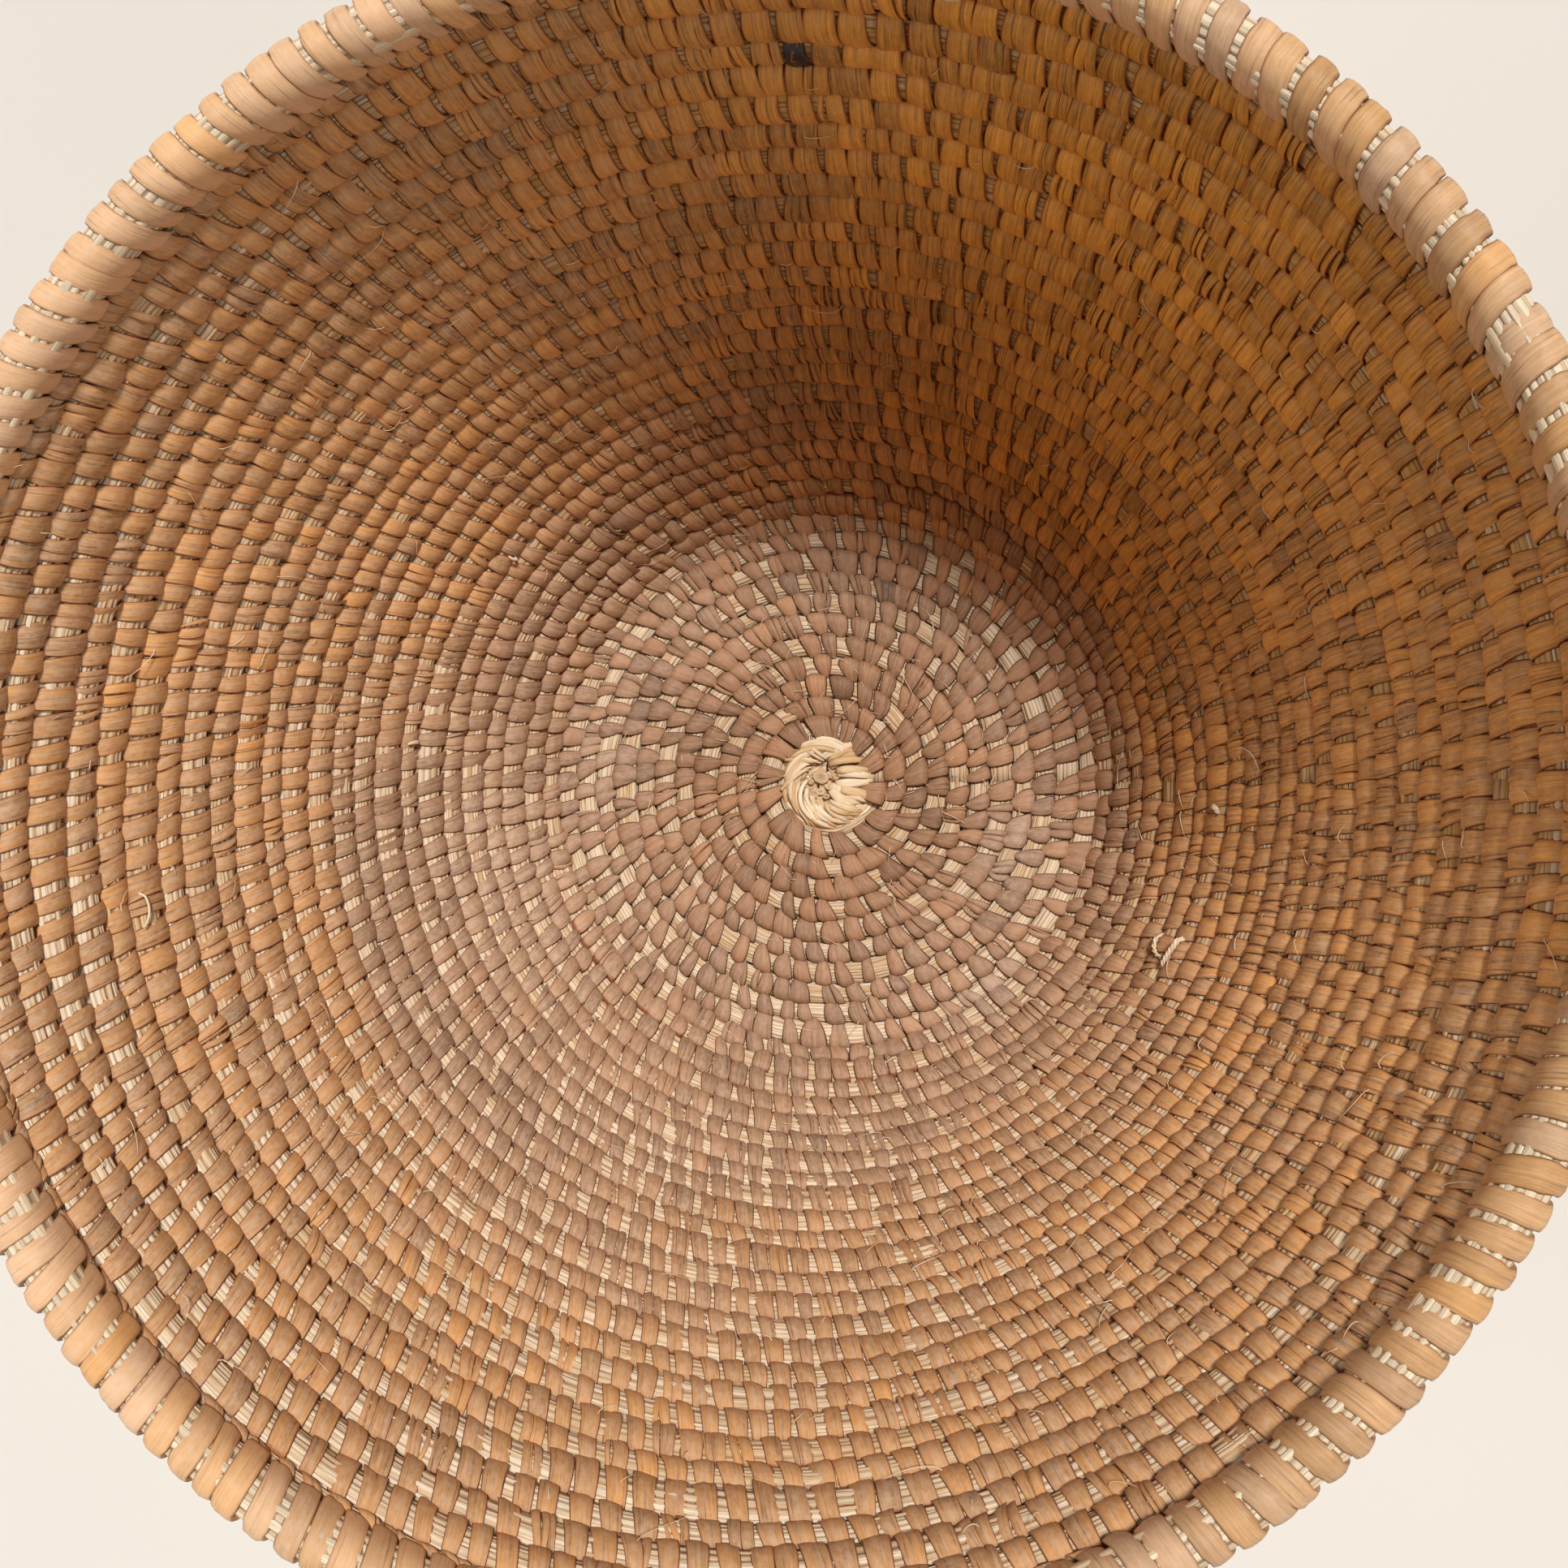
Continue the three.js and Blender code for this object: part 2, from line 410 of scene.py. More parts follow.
@dataclass(frozen=True)
class GrassFinish:
    """The bare grass of the bundle: pale stems along the row, with painted shade in the grooves between them
    and darker fibre lines along them.
    """

    name: str
    pale: Colour
    tan: Colour
    # groove: painted shade, the colour laid in the grooves between stems and along the darker fibre lines
    groove: Colour
    aged_and_shade_tint: Colour
    roughness: float
    gloss: float = 0.12
    line_grain: Grain = Grain((7.0, 0.12, 1.0), 3.0, 0.6)
    broad_grain: Grain = Grain((1.4, 0.16, 1.0), 2.0)
    pale_range: Span = (0.22, 0.62)
    line_range: Span = (0.4, 0.28)
    tone_share: float = 0.5
    plain_age: float = 0.6
    broad_age: float = 0.8
    line_streak: float = 0.9
    low_depth: float = 0.75
    line_depth: float = 0.4
    first_groove: float = 0.6
    deep_groove: float = 0.34
    line_roughness: float = 0.25
    aged_roughness: float = 0.1
    relief_depth: float = 0.25 * MM
    relief_strength: float = 0.8

    def material(self) -> bpy.types.Material:
        """Builds the finish from the values that the bundles carry.

        Returns:
            The material.
        """
        made, tree = ShaderTree.of_material(self.name)
        fibre = tree.attribute("fibre", "Vector")
        tone, crest, age = tree.parts(tree.attribute("look", "Vector"))
        lines, broad = (grain.over(tree, fibre) for grain in (self.line_grain, self.broad_grain))
        toned = broad + (tone - 0.5) * self.tone_share
        stem = tree.blend(tree.ramped(toned, *self.pale_range), self.tan, self.pale)
        # age, with the painted tint of the bowl's shaded side
        stem = tree.blend(tree.limited(age * (self.plain_age + broad * self.broad_age)), stem, self.aged_and_shade_tint)
        stem = tree.tinted(stem, 1.0 + (lines - 0.5) * self.line_streak)
        scored = tree.ramped(lines, *self.line_range) * self.line_depth
        # painted shade: the lower a point lies between stems, the more groove colour, together with the darker
        # fibre lines
        depth = tree.limited((1.0 - crest) * self.low_depth + scored)
        groove_shade = tree.limited(depth * (self.first_groove + depth * self.deep_groove))
        stem = tree.blend(groove_shade, stem, self.groove)
        rough = self.roughness + (lines - 0.5) * self.line_roughness + age * self.aged_roughness
        tree.surfaced(
            {
                "Base Color": stem,
                "Roughness": tree.limited(rough),
                "Normal": tree.bumped(lines, self.relief_depth, self.relief_strength),
                "Specular IOR Level": self.gloss,
            }
        )
        return made


class Finish(Enum):
    """The basket's finishes."""

    # In each leaf finish the third colour is painted shade for edges and tucked ends; the fourth is the pale
    # colour of dust, of the painted light on the lit side and of the painted highlights
    BASE_LEAF = LeafFinish(
        "base_leaf", (0.42, 0.19, 0.062), (0.35, 0.17, 0.077), (0.085, 0.02, 0.003), (0.56, 0.415, 0.315),
        (0.05, 0.035, 0.025), 0.46, 0.3, 0.92,
    )
    WALL_LEAF = LeafFinish(
        "wall_leaf", (0.57, 0.232, 0.025), (0.38, 0.2, 0.098), (0.22, 0.03, 0.001), (0.65, 0.475, 0.345),
        (0.025, 0.018, 0.014), 0.46, 0.28, 0.92, 1.3,
    )
    RIM_LEAF = LeafFinish(
        "rim_leaf", (0.65, 0.345, 0.13), (0.63, 0.385, 0.215), (0.24, 0.07, 0.013), (0.79, 0.58, 0.43),
        (0.06, 0.035, 0.02), 0.42, 0.35, 0.55, 0.6,
    )
    # In each grass finish the third colour is painted shade in the grooves; the fourth is the colour of age and
    # of the painted tint on the bowl's shaded side
    BARE_GRASS = GrassFinish(
        "bare_grass", (0.94, 0.79, 0.585), (0.74, 0.54, 0.33), (0.23, 0.047, 0.003), (0.62, 0.34, 0.085), 0.6
    )
    RIM_GRASS = GrassFinish(
        "rim_grass", (0.95, 0.81, 0.6), (0.82, 0.64, 0.42), (0.20, 0.09, 0.03), (0.46, 0.30, 0.18), 0.55
    )


class FinishShelf:
    """Makes each finish's material once."""

    def __init__(self) -> None:
        """Starts with no materials made."""
        self.made: dict[Finish, bpy.types.Material] = {}

    def material(self, finish: Finish) -> bpy.types.Material:
        """Gives the material of a finish, building it the first time."""
        if finish not in self.made:
            self.made[finish] = finish.value.material()
        return self.made[finish]


SHELF = FinishShelf()


@dataclass(frozen=True)
class TubeGrid:
    """Faces of closed tubes that all have the same count of rings and of points round each ring."""

    rings: int
    sides: int

    def faces(self) -> Array:
        """Lists the quads of one tube, both ends closed.

        Returns:
            Four point numbers to a face.
        """
        ring, side = np.meshgrid(np.arange(self.rings - 1), np.arange(self.sides), indexing="ij")
        after = (side + 1) % self.sides
        near = ring * self.sides
        far = near + self.sides
        band = np.stack([near + side, near + after, far + after, far + side], axis=-1).reshape(-1, 4)
        left = np.arange(self.sides // 2 - 1)
        right = self.sides - 1 - left
        first = np.stack([left, right, right - 1, left + 1], axis=-1)
        last = np.stack([left, left + 1, right - 1, right], axis=-1) + (self.rings - 1) * self.sides
        return np.concatenate([band, first, last])

    @staticmethod
    def quads(corners: list[tuple[Array, Array]]) -> Array:
        """Joins the corners of flat quads, by face, corner and axis."""
        return np.stack([np.stack(corner, axis=-1) for corner in corners], axis=-2).reshape(-1, 4, 2)

    def chart(self, bands: int) -> Array:
        """Lays the same quads out flat, on the bake map.

        Args:
            bands: Into how many bands the tube's length is cut, one above the other.

        Returns:
            Four corners to a face, on a unit square.
        """
        cap_share = 0.05
        ring, side = np.meshgrid(np.arange(self.rings - 1), np.arange(self.sides), indexing="ij")
        length = (self.rings - 1) / bands
        band = np.minimum((ring / length).astype(int), bands - 1)
        start = ring / length - band
        stop = start + 1.0 / length
        low = (band + side / self.sides) / bands * (1.0 - cap_share)
        high = (band + (side + 1) / self.sides) / bands * (1.0 - cap_share)
        body = self.quads([(start, low), (start, high), (stop, high), (stop, low)])
        count = self.sides // 2 - 1
        left = np.arange(count) / count / 2.0
        right = left + 0.5 / count
        bottom = np.full(count, 1.0 - cap_share * 0.8)
        top = np.full(count, 1.0)
        cap = self.quads([(left, bottom), (left, top), (right, top), (right, bottom)])
        return np.concatenate([body, cap, cap + np.array([0.5, 0.0])])


class PieceMesh:
    """Gathers tubes into one mesh, with the values that its finish reads."""

    def __init__(self, name: str) -> None:
        """Starts an empty mesh for a piece of that name."""
        self.name = name
        self.points: list[Array] = []
        self.faces: list[Array] = []
        self.corners: list[Array] = []
        self.values: dict[str, list[Array]] = {}
        self.count = 0

    def add(self, tubes: Array, values: dict[str, Array], bands: int = 1, region: Region = WHOLE) -> None:
        """Adds tubes of one size.

        Args:
            tubes: Points in metres: tube, ring, side, axis.
            values: What each point carries: tube, ring, side and, for vectors, axis.
            bands: Bands that each tube's length is cut into on the bake's map.
            region: The tubes' part of that map: left, bottom, right and top.
        """
        total, rings, sides = tubes.shape[:3]
        grid = TubeGrid(rings, sides)
        faces = grid.faces()
        chart = grid.chart(bands)
        if self.volume(tubes[0].reshape(-1, 3), faces) < 0.0:
            faces = faces[:, ::-1]
            chart = chart[:, ::-1]
        offsets = self.count + np.arange(total) * rings * sides
        self.faces.append((faces[None] + offsets[:, None, None]).reshape(-1, 4))
        across = math.ceil(math.sqrt(total))
        down = math.ceil(total / across)
        margin = 0.04
        cell = np.stack([np.arange(total) % across, np.arange(total) // across], axis=-1)
        placed = (cell[:, None, None] + margin + chart[None] * (1.0 - 2.0 * margin)) / (across, down)
        low = np.array(region[:2])
        size = np.array(region[2:]) - low
        self.corners.append(placed.reshape(-1, 2) * size + low)
        self.points.append(tubes.reshape(-1, 3))
        for key, value in values.items():
            self.values.setdefault(key, []).append(value.reshape(total * rings * sides, -1))
        self.count += total * rings * sides

    @staticmethod
    def volume(points: Array, faces: Array) -> float:
        """Signed volume of a closed mesh, less than 0 where its faces look inwards."""
        corner = points - points.mean(axis=0)
        a, b, c, d = (corner[faces[:, i]] for i in range(4))
        halves = np.einsum("ij,ij->i", a, np.cross(b, c)) + np.einsum("ij,ij->i", a, np.cross(c, d))
        return float(halves.sum())

    def piece(self, finish: Finish, slot: str, *nodes: str) -> None:
        """Makes the object, dresses it, and sets it on the frame.

        Args:
            finish: What the piece is made of.
            slot: The record's material slot; not used.
            nodes: CAD nodes that the piece stands for.
        """
        points = np.concatenate(self.points).astype(np.float32)
        faces = np.concatenate(self.faces).astype(np.int32)
        mesh = bpy.data.meshes.new(self.name)
        mesh.vertices.add(len(points))
        mesh.vertices.foreach_set("co", points.ravel())
        mesh.loops.add(faces.size)
        mesh.loops.foreach_set("vertex_index", faces.ravel())
        mesh.polygons.add(len(faces))
        mesh.polygons.foreach_set("loop_start", np.arange(0, faces.size, 4, dtype=np.int32))
        mesh.update(calc_edges=True)
        mesh.shade_smooth()
        bake = mesh.uv_layers.new(name=BAKE_MAP)
        bake.uv.foreach_set("vector", np.concatenate(self.corners).astype(np.float32).ravel())
        for key, parts in self.values.items():
            value = np.concatenate(parts).astype(np.float32)
            kind, field = ("FLOAT_VECTOR", "vector") if value.shape[1] == 3 else ("FLOAT", "value")
            mesh.attributes.new(key, kind, "POINT").data.foreach_set(field, value.ravel())
        mesh.validate()
        mesh.materials.append(SHELF.material(finish))
        made = linked(self.name, mesh)
        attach(made, BODY)
        if nodes:
            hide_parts(*nodes)
        log.info("%s: %d points, %d faces", self.name, len(points), len(faces))


@dataclass(frozen=True)
class Wander:
    """Smooth seeded unevenness along the spiral, about -1 to 1, alike on neighbouring rows."""

    seed: int
    waves: int = 8
    most_round: int = 7
    drift: float = 0.12

    @cached_property
    def parts(self) -> tuple[Array, Array, Array]:
        """Counts of waves to a turn, starting angles and heights."""
        random = np.random.default_rng(self.seed)
        whole = random.integers(1, self.most_round + 1, self.waves)
        count = whole + random.uniform(-self.drift, self.drift, self.waves)
        angle = random.uniform(0.0, FULL_TURN, self.waves)
        height = random.uniform(0.5, 1.0, self.waves)
        return count, angle, height / math.sqrt((height**2).sum())

    def at(self, turn: Array) -> Array:
        """The unevenness after so many turns."""
        count, angle, height = self.parts
        turns = np.asarray(turn, dtype=float)[..., None]
        return (np.sin(FULL_TURN * count * turns + angle) * height).sum(axis=-1)


@dataclass(frozen=True)
class Bowl:
    """The basket's spiral profile in millimetres and degrees, as the part's source lays it out."""

    knot_hollow: float = 0.5
    base_pitch: float = 4.5
    wall_pitch: float = 5.4
    base_thickness: float = 4.8
    wall_thickness: float = 5.4
    foot_cut: float = 0.5
    row_gap: float = 0.45
    rim_diameter: float = 7.2
    rim_seat: float = 0.4
    heel_slope: float = 53.0
    rim_slope: float = 78.0
    knot_turns: float = 1.75
    knot_tip_share: float = 0.6
    tail_tip_share: float = 0.5
    tail_tip: float = 0.5
    base_turns: int = 10
    wall_turns: int = 24
    flare_ease: float = 0.6
    steps_per_turn: int = 24
    foot_softness: float = 0.55
    sway: float = 0.2
    swell: float = 0.16
    oval: float = 1.2
    oval_angle: float = 33.0
    drawn_in: float = 0.1
    tipped: float = 1.6
    tipped_angle: float = 222.0
    bend_power: float = 1.5
    open_angle: float = 235.0
    row_uneven: float = 0.075
    rim_sway: float = 0.22
    rim_sway_up: float = 0.5

    @property
    def wall_start(self) -> int:
        """Turns wound before the wall starts, the heel's one among them."""
        return self.base_turns + 1

    @property
    def tail_start(self) -> int:
        """Turns wound before the tail starts to thin."""
        return self.wall_start + self.wall_turns

    @property
    def tail_end(self) -> float:
        """Turns wound where the tail stops."""
        return self.tail_start + 1.0 - (self.tail_tip + self.row_gap) / self.wall_pitch

    @property
    def top_edge(self) -> float:
        """The wall's level top edge, in turns of the profile."""
        return self.tail_start + 0.5

    def up_heel(self, turn: Array) -> Array:
        """Share of the heel's bend that is done after so many turns."""
        return np.clip(np.asarray(turn, dtype=float) - self.base_turns, 0.0, 1.0)

    def slope(self, turn: Array) -> Array:
        """Slope of the profile in radians."""
        climbed = np.clip((turn - self.wall_start) / (self.top_edge - self.wall_start), 0.0, 1.0)
        flare = (self.rim_slope - self.heel_slope) * climbed**self.flare_ease
        return np.radians(self.heel_slope * self.up_heel(turn) + flare)

    def pitch(self, turn: Array) -> Array:
        """Distance from a row to the next."""
        return mixed(self.base_pitch, self.wall_pitch, self.up_heel(turn))

    def thickness(self, turn: Array) -> Array:
        """Thickness of a whole row, which grows along the knot."""
        grown = np.clip(1.0 + np.asarray(turn) / self.knot_turns, 0.0, 1.0)
        full = mixed(self.base_thickness, self.wall_thickness, self.up_heel(turn))
        return full * mixed(self.knot_tip_share, 1.0, grown)

    @cached_property
    def table(self) -> tuple[Array, Array, Array]:
        """Turns, radii and heights of the profile, summed along its slope."""
        first = -(self.knot_turns + 0.5)
        last = self.tail_start + 1.5
        count = round((last - first) * self.steps_per_turn)
        turns = first + np.arange(count + 1) / self.steps_per_turn
        middle = (turns[1:] + turns[:-1]) / 2.0
        run = self.pitch(middle) / self.steps_per_turn
        slope = self.slope(middle)
        radii = self.knot_hollow + np.concatenate([[0.0], np.cumsum(run * np.cos(slope))])
        height = self.base_thickness / 2.0 - self.foot_cut
        heights = height + np.concatenate([[0.0], np.cumsum(run * np.sin(slope))])
        return turns, radii, heights

    def line(self, turn: Array) -> tuple[Array, Array]:
        """Radius and height of the profile after so many turns."""
        turns, radii, heights = self.table
        return np.interp(turn, turns, radii), np.interp(turn, turns, heights)

    def bent(self, radius: Array, height: Array, angle: Array) -> Array:
        """Bends the round bowl a little oval and to one side at the top, as the hand-made one is.

        Args:
            radius: Millimetres from the axis.
            height: Millimetres over the table.
            angle: Radians round the axis.

        Returns:
            The bent radius.
        """
        top = float(self.line(self.top_edge)[1])
        grown = np.clip(height / top, 0.0, 1.1) ** self.bend_power
        oval = self.oval * np.cos(2.0 * (angle - math.radians(self.oval_angle)))
        tip = self.tipped * np.cos(angle - math.radians(self.tipped_angle))
        return radius + grown * (oval + tip - self.drawn_in)

    def open_side(self, turn: Array) -> Array:
        """1 where the sewing is most open, 0 on the far side of the bowl."""
        return 0.5 + 0.5 * facing(turn, self.open_angle)

    def pressed(self, height: Array) -> Array:
        """Presses what would sink into the table flat on it."""
        soft = self.foot_softness
        return np.where(height < soft, soft * np.exp(np.minimum(height - soft, 0.0) / soft), height)


class Row:
    """A line that a bundle follows, with the section that its sewing wraps."""

    def __init__(self, bowl: Bowl) -> None:
        """Takes the bowl whose profile the row follows."""
        self.bowl = bowl

    def line(self, turn: Array) -> tuple[Array, Array, Array]:
        """Radius, height and slope of the row's middle."""
        raise NotImplementedError

    def half_width(self, turn: Array) -> Array:
        """Half the row's size along the profile."""
        raise NotImplementedError

    def half_thickness(self, turn: Array) -> Array:
        """Half the row's size square to the profile."""
        raise NotImplementedError

    def arc(self, turn: Array) -> Array:
        """Length of one whole turn at that place."""
        return FULL_TURN * self.line(turn)[0]

    @staticmethod
    def moved(line: tuple[Array, Array, Array], onward: Array, inward: Array) -> tuple[Array, Array]:
        """Radius and height after going onward along the profile and inward, square to it.

        Args:
            line: Radius, height and slope to start from.
            onward: Millimetres towards the rim.
            inward: Millimetres into the bowl.

        Returns:
            The new radius and height.
        """
        radius, height, slope = line
        out = radius + onward * np.cos(slope) - inward * np.sin(slope)
        return out, height + onward * np.sin(slope) + inward * np.cos(slope)

    def place(self, turn: Array, along: Array, onward: Array, inward: Array) -> Array:
        """Points beside the row.

        Args:
            turn: Turns wound.
            along: Millimetres on along the row.
            onward: Millimetres along the profile, towards the rim.
            inward: Millimetres square to it, into the bowl.

        Returns:
            Points in metres, with the axes last.
        """
        here = turn + along / self.arc(turn)
        out, up = self.moved(self.line(here), onward, inward)
        up = self.bowl.pressed(up)
        angle = FULL_TURN * here
        out = self.bowl.bent(out, up, angle)
        return np.stack([out * np.cos(angle), out * np.sin(angle), up], axis=-1) * MM


class SpiralRow(Row):
    """The spiral itself, from the knot to the tip of the tail."""

    def __init__(self, bowl: Bowl) -> None:
        """Sets the spiral's hand-made sway and swell."""
        super().__init__(bowl)
        self.sway = Wander(11)
        self.swell = Wander(12)
        self.joints = Wander(13, waves=10, most_round=5, drift=0.5)

    def joint(self, turn: Array) -> Array:
        """Where two rows meet, in turns of the profile, since hand-made rows aren't all equally broad."""
        calm = risen(turn, 2.0, 3.0) * ease((self.bowl.tail_start - 0.5 - turn) / 2.0)
        return turn + self.bowl.row_uneven * calm * self.joints.at(turn)

    def breadth(self, turn: Array) -> Array:
        """How broad the row is, as a share of the pitch."""
        turns = np.asarray(turn, dtype=float)
        return self.joint(turns + 0.5) - self.joint(turns - 0.5)

    def line(self, turn: Array) -> tuple[Array, Array, Array]:
        """Radius, height and slope of the row's middle, a little uneven as hand work is."""
        bowl = self.bowl
        level = (self.joint(turn - 0.5) + self.joint(turn + 0.5)) / 2.0
        station = np.where(turn > bowl.tail_start, (turn + bowl.tail_start) / 2.0, level)
        radius, height = bowl.line(station)
        slope = bowl.slope(station)
        calm = risen(turn, 1.0, 4.0) * ease((bowl.tail_start + 0.5 - turn) / 2.0)
        onward = bowl.sway * calm * self.sway.at(turn)
        inward = bowl.swell * calm * self.swell.at(turn)
        return *self.moved((radius, height, slope), onward, inward), slope

    def half_width(self, turn: Array) -> Array:
        """Half the pitch, or half of what the tail still fills."""
        filled = np.clip(self.bowl.tail_start + 1.0 - np.asarray(turn), 0.05, 1.0)
        return self.bowl.pitch(turn) * filled * self.breadth(turn) / 2.0

    def half_thickness(self, turn: Array) -> Array:
        """Half the row's thickness, which the tail loses as it thins."""
        left = np.clip(self.bowl.tail_start + 1.0 - np.asarray(turn), 0.0, 1.0)
        full = self.bowl.thickness(turn) / 2.0
        return full * mixed(self.bowl.tail_tip_share, 1.0, left) * self.breadth(turn) ** 0.5


class RimRow(Row):
    """The level ring on the wall's top edge."""

    def __init__(self, bowl: Bowl) -> None:
        """Places the ring in line with the wall and sets its unevenness."""
        super().__init__(bowl)
        radius, height = bowl.line(bowl.top_edge)
        slope = math.radians(bowl.rim_slope)
        reach = bowl.rim_diameter / 2.0 + bowl.rim_seat - bowl.row_gap / 2.0
        self.radius = float(radius) + reach * math.cos(slope)
        self.height = float(height) + reach * math.sin(slope)
        self.slope = slope
        self.sway = Wander(21, drift=0.0)

    def line(self, turn: Array) -> tuple[Array, Array, Array]:
        """Radius, height and slope of the ring's middle."""
        uneven = self.bowl.rim_sway * self.sway.at(turn)
        radius = self.radius + uneven
        return radius, self.height + uneven * self.bowl.rim_sway_up, np.full_like(radius, self.slope)

    def half_width(self, turn: Array) -> Array:
        """Half the ring's diameter."""
        return np.full_like(np.asarray(turn, dtype=float), self.bowl.rim_diameter / 2.0)

    def half_thickness(self, turn: Array) -> Array:
        """Half the ring's diameter."""
        return self.half_width(turn)


def section(angle: Array, half_width: Array, half_thickness: Array, squareness: float) -> tuple[Array, Array]:
    """A point of a row's rounded section.

    Args:
        angle: 0 on the inner face, a quarter turn on the rim's side, half a turn on the outer face.
        half_width: Half the section along the profile.
        half_thickness: Half the section square to it.
        squareness: 2 for an ellipse, more for a squarer section.

    Returns:
        How far the point lies onward and inward.
    """
    power = 2.0 / squareness
    onward, inward = (np.sign(part) * np.abs(part) ** power for part in (np.sin(angle), np.cos(angle)))
    return half_width * onward, half_thickness * inward


def tubes_along(paths: Array, radii: Array, flatness: Array, sides: int) -> Array:
    """Lays a closed tube round each path.

    Args:
        paths: Points in metres: path, step, axis.
        radii: Half of each tube's width in metres, by path and step.
        flatness: Height of each tube's section as a share of its width.
        sides: Points round each ring.

    Returns:
        Points by tube, ring, side and axis.
    """
    ahead = unit(np.gradient(paths, axis=1))
    beside = unit(np.cross(ahead, np.array([0.0, 0.0, 1.0])))
    above = np.cross(beside, ahead)
    angle = ring_angles(sides)
    reach = radii[:, :, None, None]
    across = beside[:, :, None] * np.cos(angle)[:, None] * reach
    upward = above[:, :, None] * np.sin(angle)[:, None] * reach * flatness[:, None, None, None]
    return paths[:, :, None] + across + upward


def strand_values(tubes: Array, radii: Array, tone: Array, age: Array, seed: float) -> dict[str, Array]:
    """What the points of loose strands carry for the grass finish.

    Args:
        tubes: Points by strand, ring, side and axis.
        radii: Half of each strand's width in metres, by strand and ring.
        tone: How pale each strand is.
        age: How brown each strand has grown, or how brown it is at each ring.
        seed: Start of the strands' own pattern.

    Returns:
        The values by name.
    """
    around_scale = 1.6
    pattern_step = 1.7
    low_crest = 0.36
    crest_rise = 0.9
    count, rings, sides = tubes.shape[:3]
    upward = np.sin(ring_angles(sides))
    middle = tubes.mean(axis=2)
    length = np.linalg.norm(np.diff(middle, axis=1), axis=-1)
    run = np.concatenate([np.zeros((count, 1)), np.cumsum(length, axis=1)], axis=1) / MM
    around = upward[None, None] * radii[..., None] / MM * around_scale
    number = seed + np.arange(count)[:, None, None] * pattern_step
    fibre = stacked(around, run[..., None], number)
    age_and_shade_browning = np.broadcast_to(age.reshape(count, -1, 1), (count, rings, 1))
    # painted shade: the underside of each loose strand takes more of the groove colour
    crest = np.clip(low_crest + crest_rise * upward, 0.0, 1.0)
    return {"fibre": fibre, "look": stacked(tone[:, None, None], crest, age_and_shade_browning)}


@dataclass
class GrassBundle:
    """A stretch of the grass bundle: stems side by side round the row's section."""

    row: Row
    first: float
    last: float
    seed: int
    stems: int = 17
    inset: float = 0.42
    groove: float = 0.24
    wobble: float = 0.1
    step: float = 3.6
    bands: int = 8
    squareness: float = 2.1
    age: float = 0.1
    sunk: float = 0.0
    # painted shade on the bowl's far side: a browner tint and more groove colour
    age_and_shade_browning: float = 0.0
    # darkens the grass of the base rows towards the groove colour
    base_darkening: float = 0.0
    shadowed: float = 0.0
    stem_uneven: Span = (0.5, 1.5)
    stem_spots: tuple[float, ...] = (0.0, 0.16, 0.5, 0.84)
    stem_crests: tuple[float, ...] = (0.0, 0.85, 1.0, 0.85)
    beats: Span = (2.0, 12.0)
    twist: float = 0.3
    twist_seed: int = 500
    stray: float = 0.25
    gap: float = 0.08
    least_thickness: float = 0.4
    least_reach: float = 0.3
    thin_width: float = 1.2
    shade_power: float = 1.5
    age_spread: float = 0.15
    most_age: float = 0.9
    pattern_step: float = 3.7

    def build(self, mesh: PieceMesh, region: Region = WHOLE) -> None:
        """Adds the bundle to a piece.

        Args:
            mesh: The piece's mesh.
            region: Its part of the bake's map.
        """
        random = np.random.default_rng(self.seed)
        length = float(self.row.arc((self.first + self.last) / 2.0)) * (self.last - self.first)
        steps = max(self.bands, round(length / self.step / self.bands) * self.bands)
        turn = np.linspace(self.first, self.last, steps + 1)
        stem_share = random.uniform(*self.stem_uneven, self.stems)
        stem_share = stem_share / stem_share.sum()
        stem_start = np.cumsum(stem_share) - stem_share
        spot = (stem_start[:, None] + stem_share[:, None] * np.array(self.stem_spots)).ravel()
        stem = np.repeat(np.arange(self.stems), len(self.stem_spots))
        crest = np.tile(self.stem_crests, self.stems)
        beat = random.uniform(*self.beats, (2, self.stems))
        start = random.uniform(0.0, FULL_TURN, (2, self.stems))
        wave = np.sin(FULL_TURN * beat[:, None] * turn[None, :, None] + start[:, None])[..., stem]
        twist = self.twist * Wander(self.seed + self.twist_seed, most_round=4).at(turn)
        strayed = self.stray * FULL_TURN * stem_share[stem] * wave[1]
        angle = FULL_TURN * spot + math.pi / 2.0 + twist[:, None] + strayed
        half_width = self.row.half_width(turn) - self.gap
        inset = self.inset + self.sunk * (1.0 - self.row.bowl.open_side(turn))
        half_thickness = np.maximum(self.row.half_thickness(turn) - inset, self.least_thickness)
        onward, inward = section(angle, half_width[:, None], half_thickness[:, None], self.squareness)
        lift = self.wobble * wave[0] + self.groove * (crest - 1.0)
        lift = lift * np.minimum(half_width / self.thin_width, 1.0)[:, None]
        grown = 1.0 + lift / np.maximum(np.hypot(onward, inward), self.least_reach)
        along = np.zeros_like(onward)
        points = self.row.place(turn[:, None] + along, along, onward * grown, inward * grown)
        run = np.linspace(0.0, length, steps + 1)
        around = spot * FULL_TURN * float(half_thickness.mean())
        pattern = float(self.seed) * self.pattern_step
        fibre = stacked(around[None], run[:, None], pattern)
        stem_tone = random.uniform(0.0, 1.0, self.stems)[stem]
        # painted shade on the bowl's far side: its grass is tinted browner and pushed towards the groove colour
        shade = (1.0 - self.row.bowl.open_side(turn[:, None])) ** self.shade_power
        age_and_shade_tint = self.age + random.normal(0.0, self.age_spread, self.stems)[stem] + self.age_and_shade_browning * shade
        stem_age_and_shade = np.clip(age_and_shade_tint, 0.0, self.most_age)
        # darker towards the groove colour on the base rows and, as painted shade, on the bowl's far side
        seen = crest * (1.0 - self.base_darkening - self.shadowed * shade)
        look = stacked(stem_tone[None] + along, seen, stem_age_and_shade)
        mesh.add(points[None], {"fibre": fibre[None], "look": look[None]}, self.bands, region)


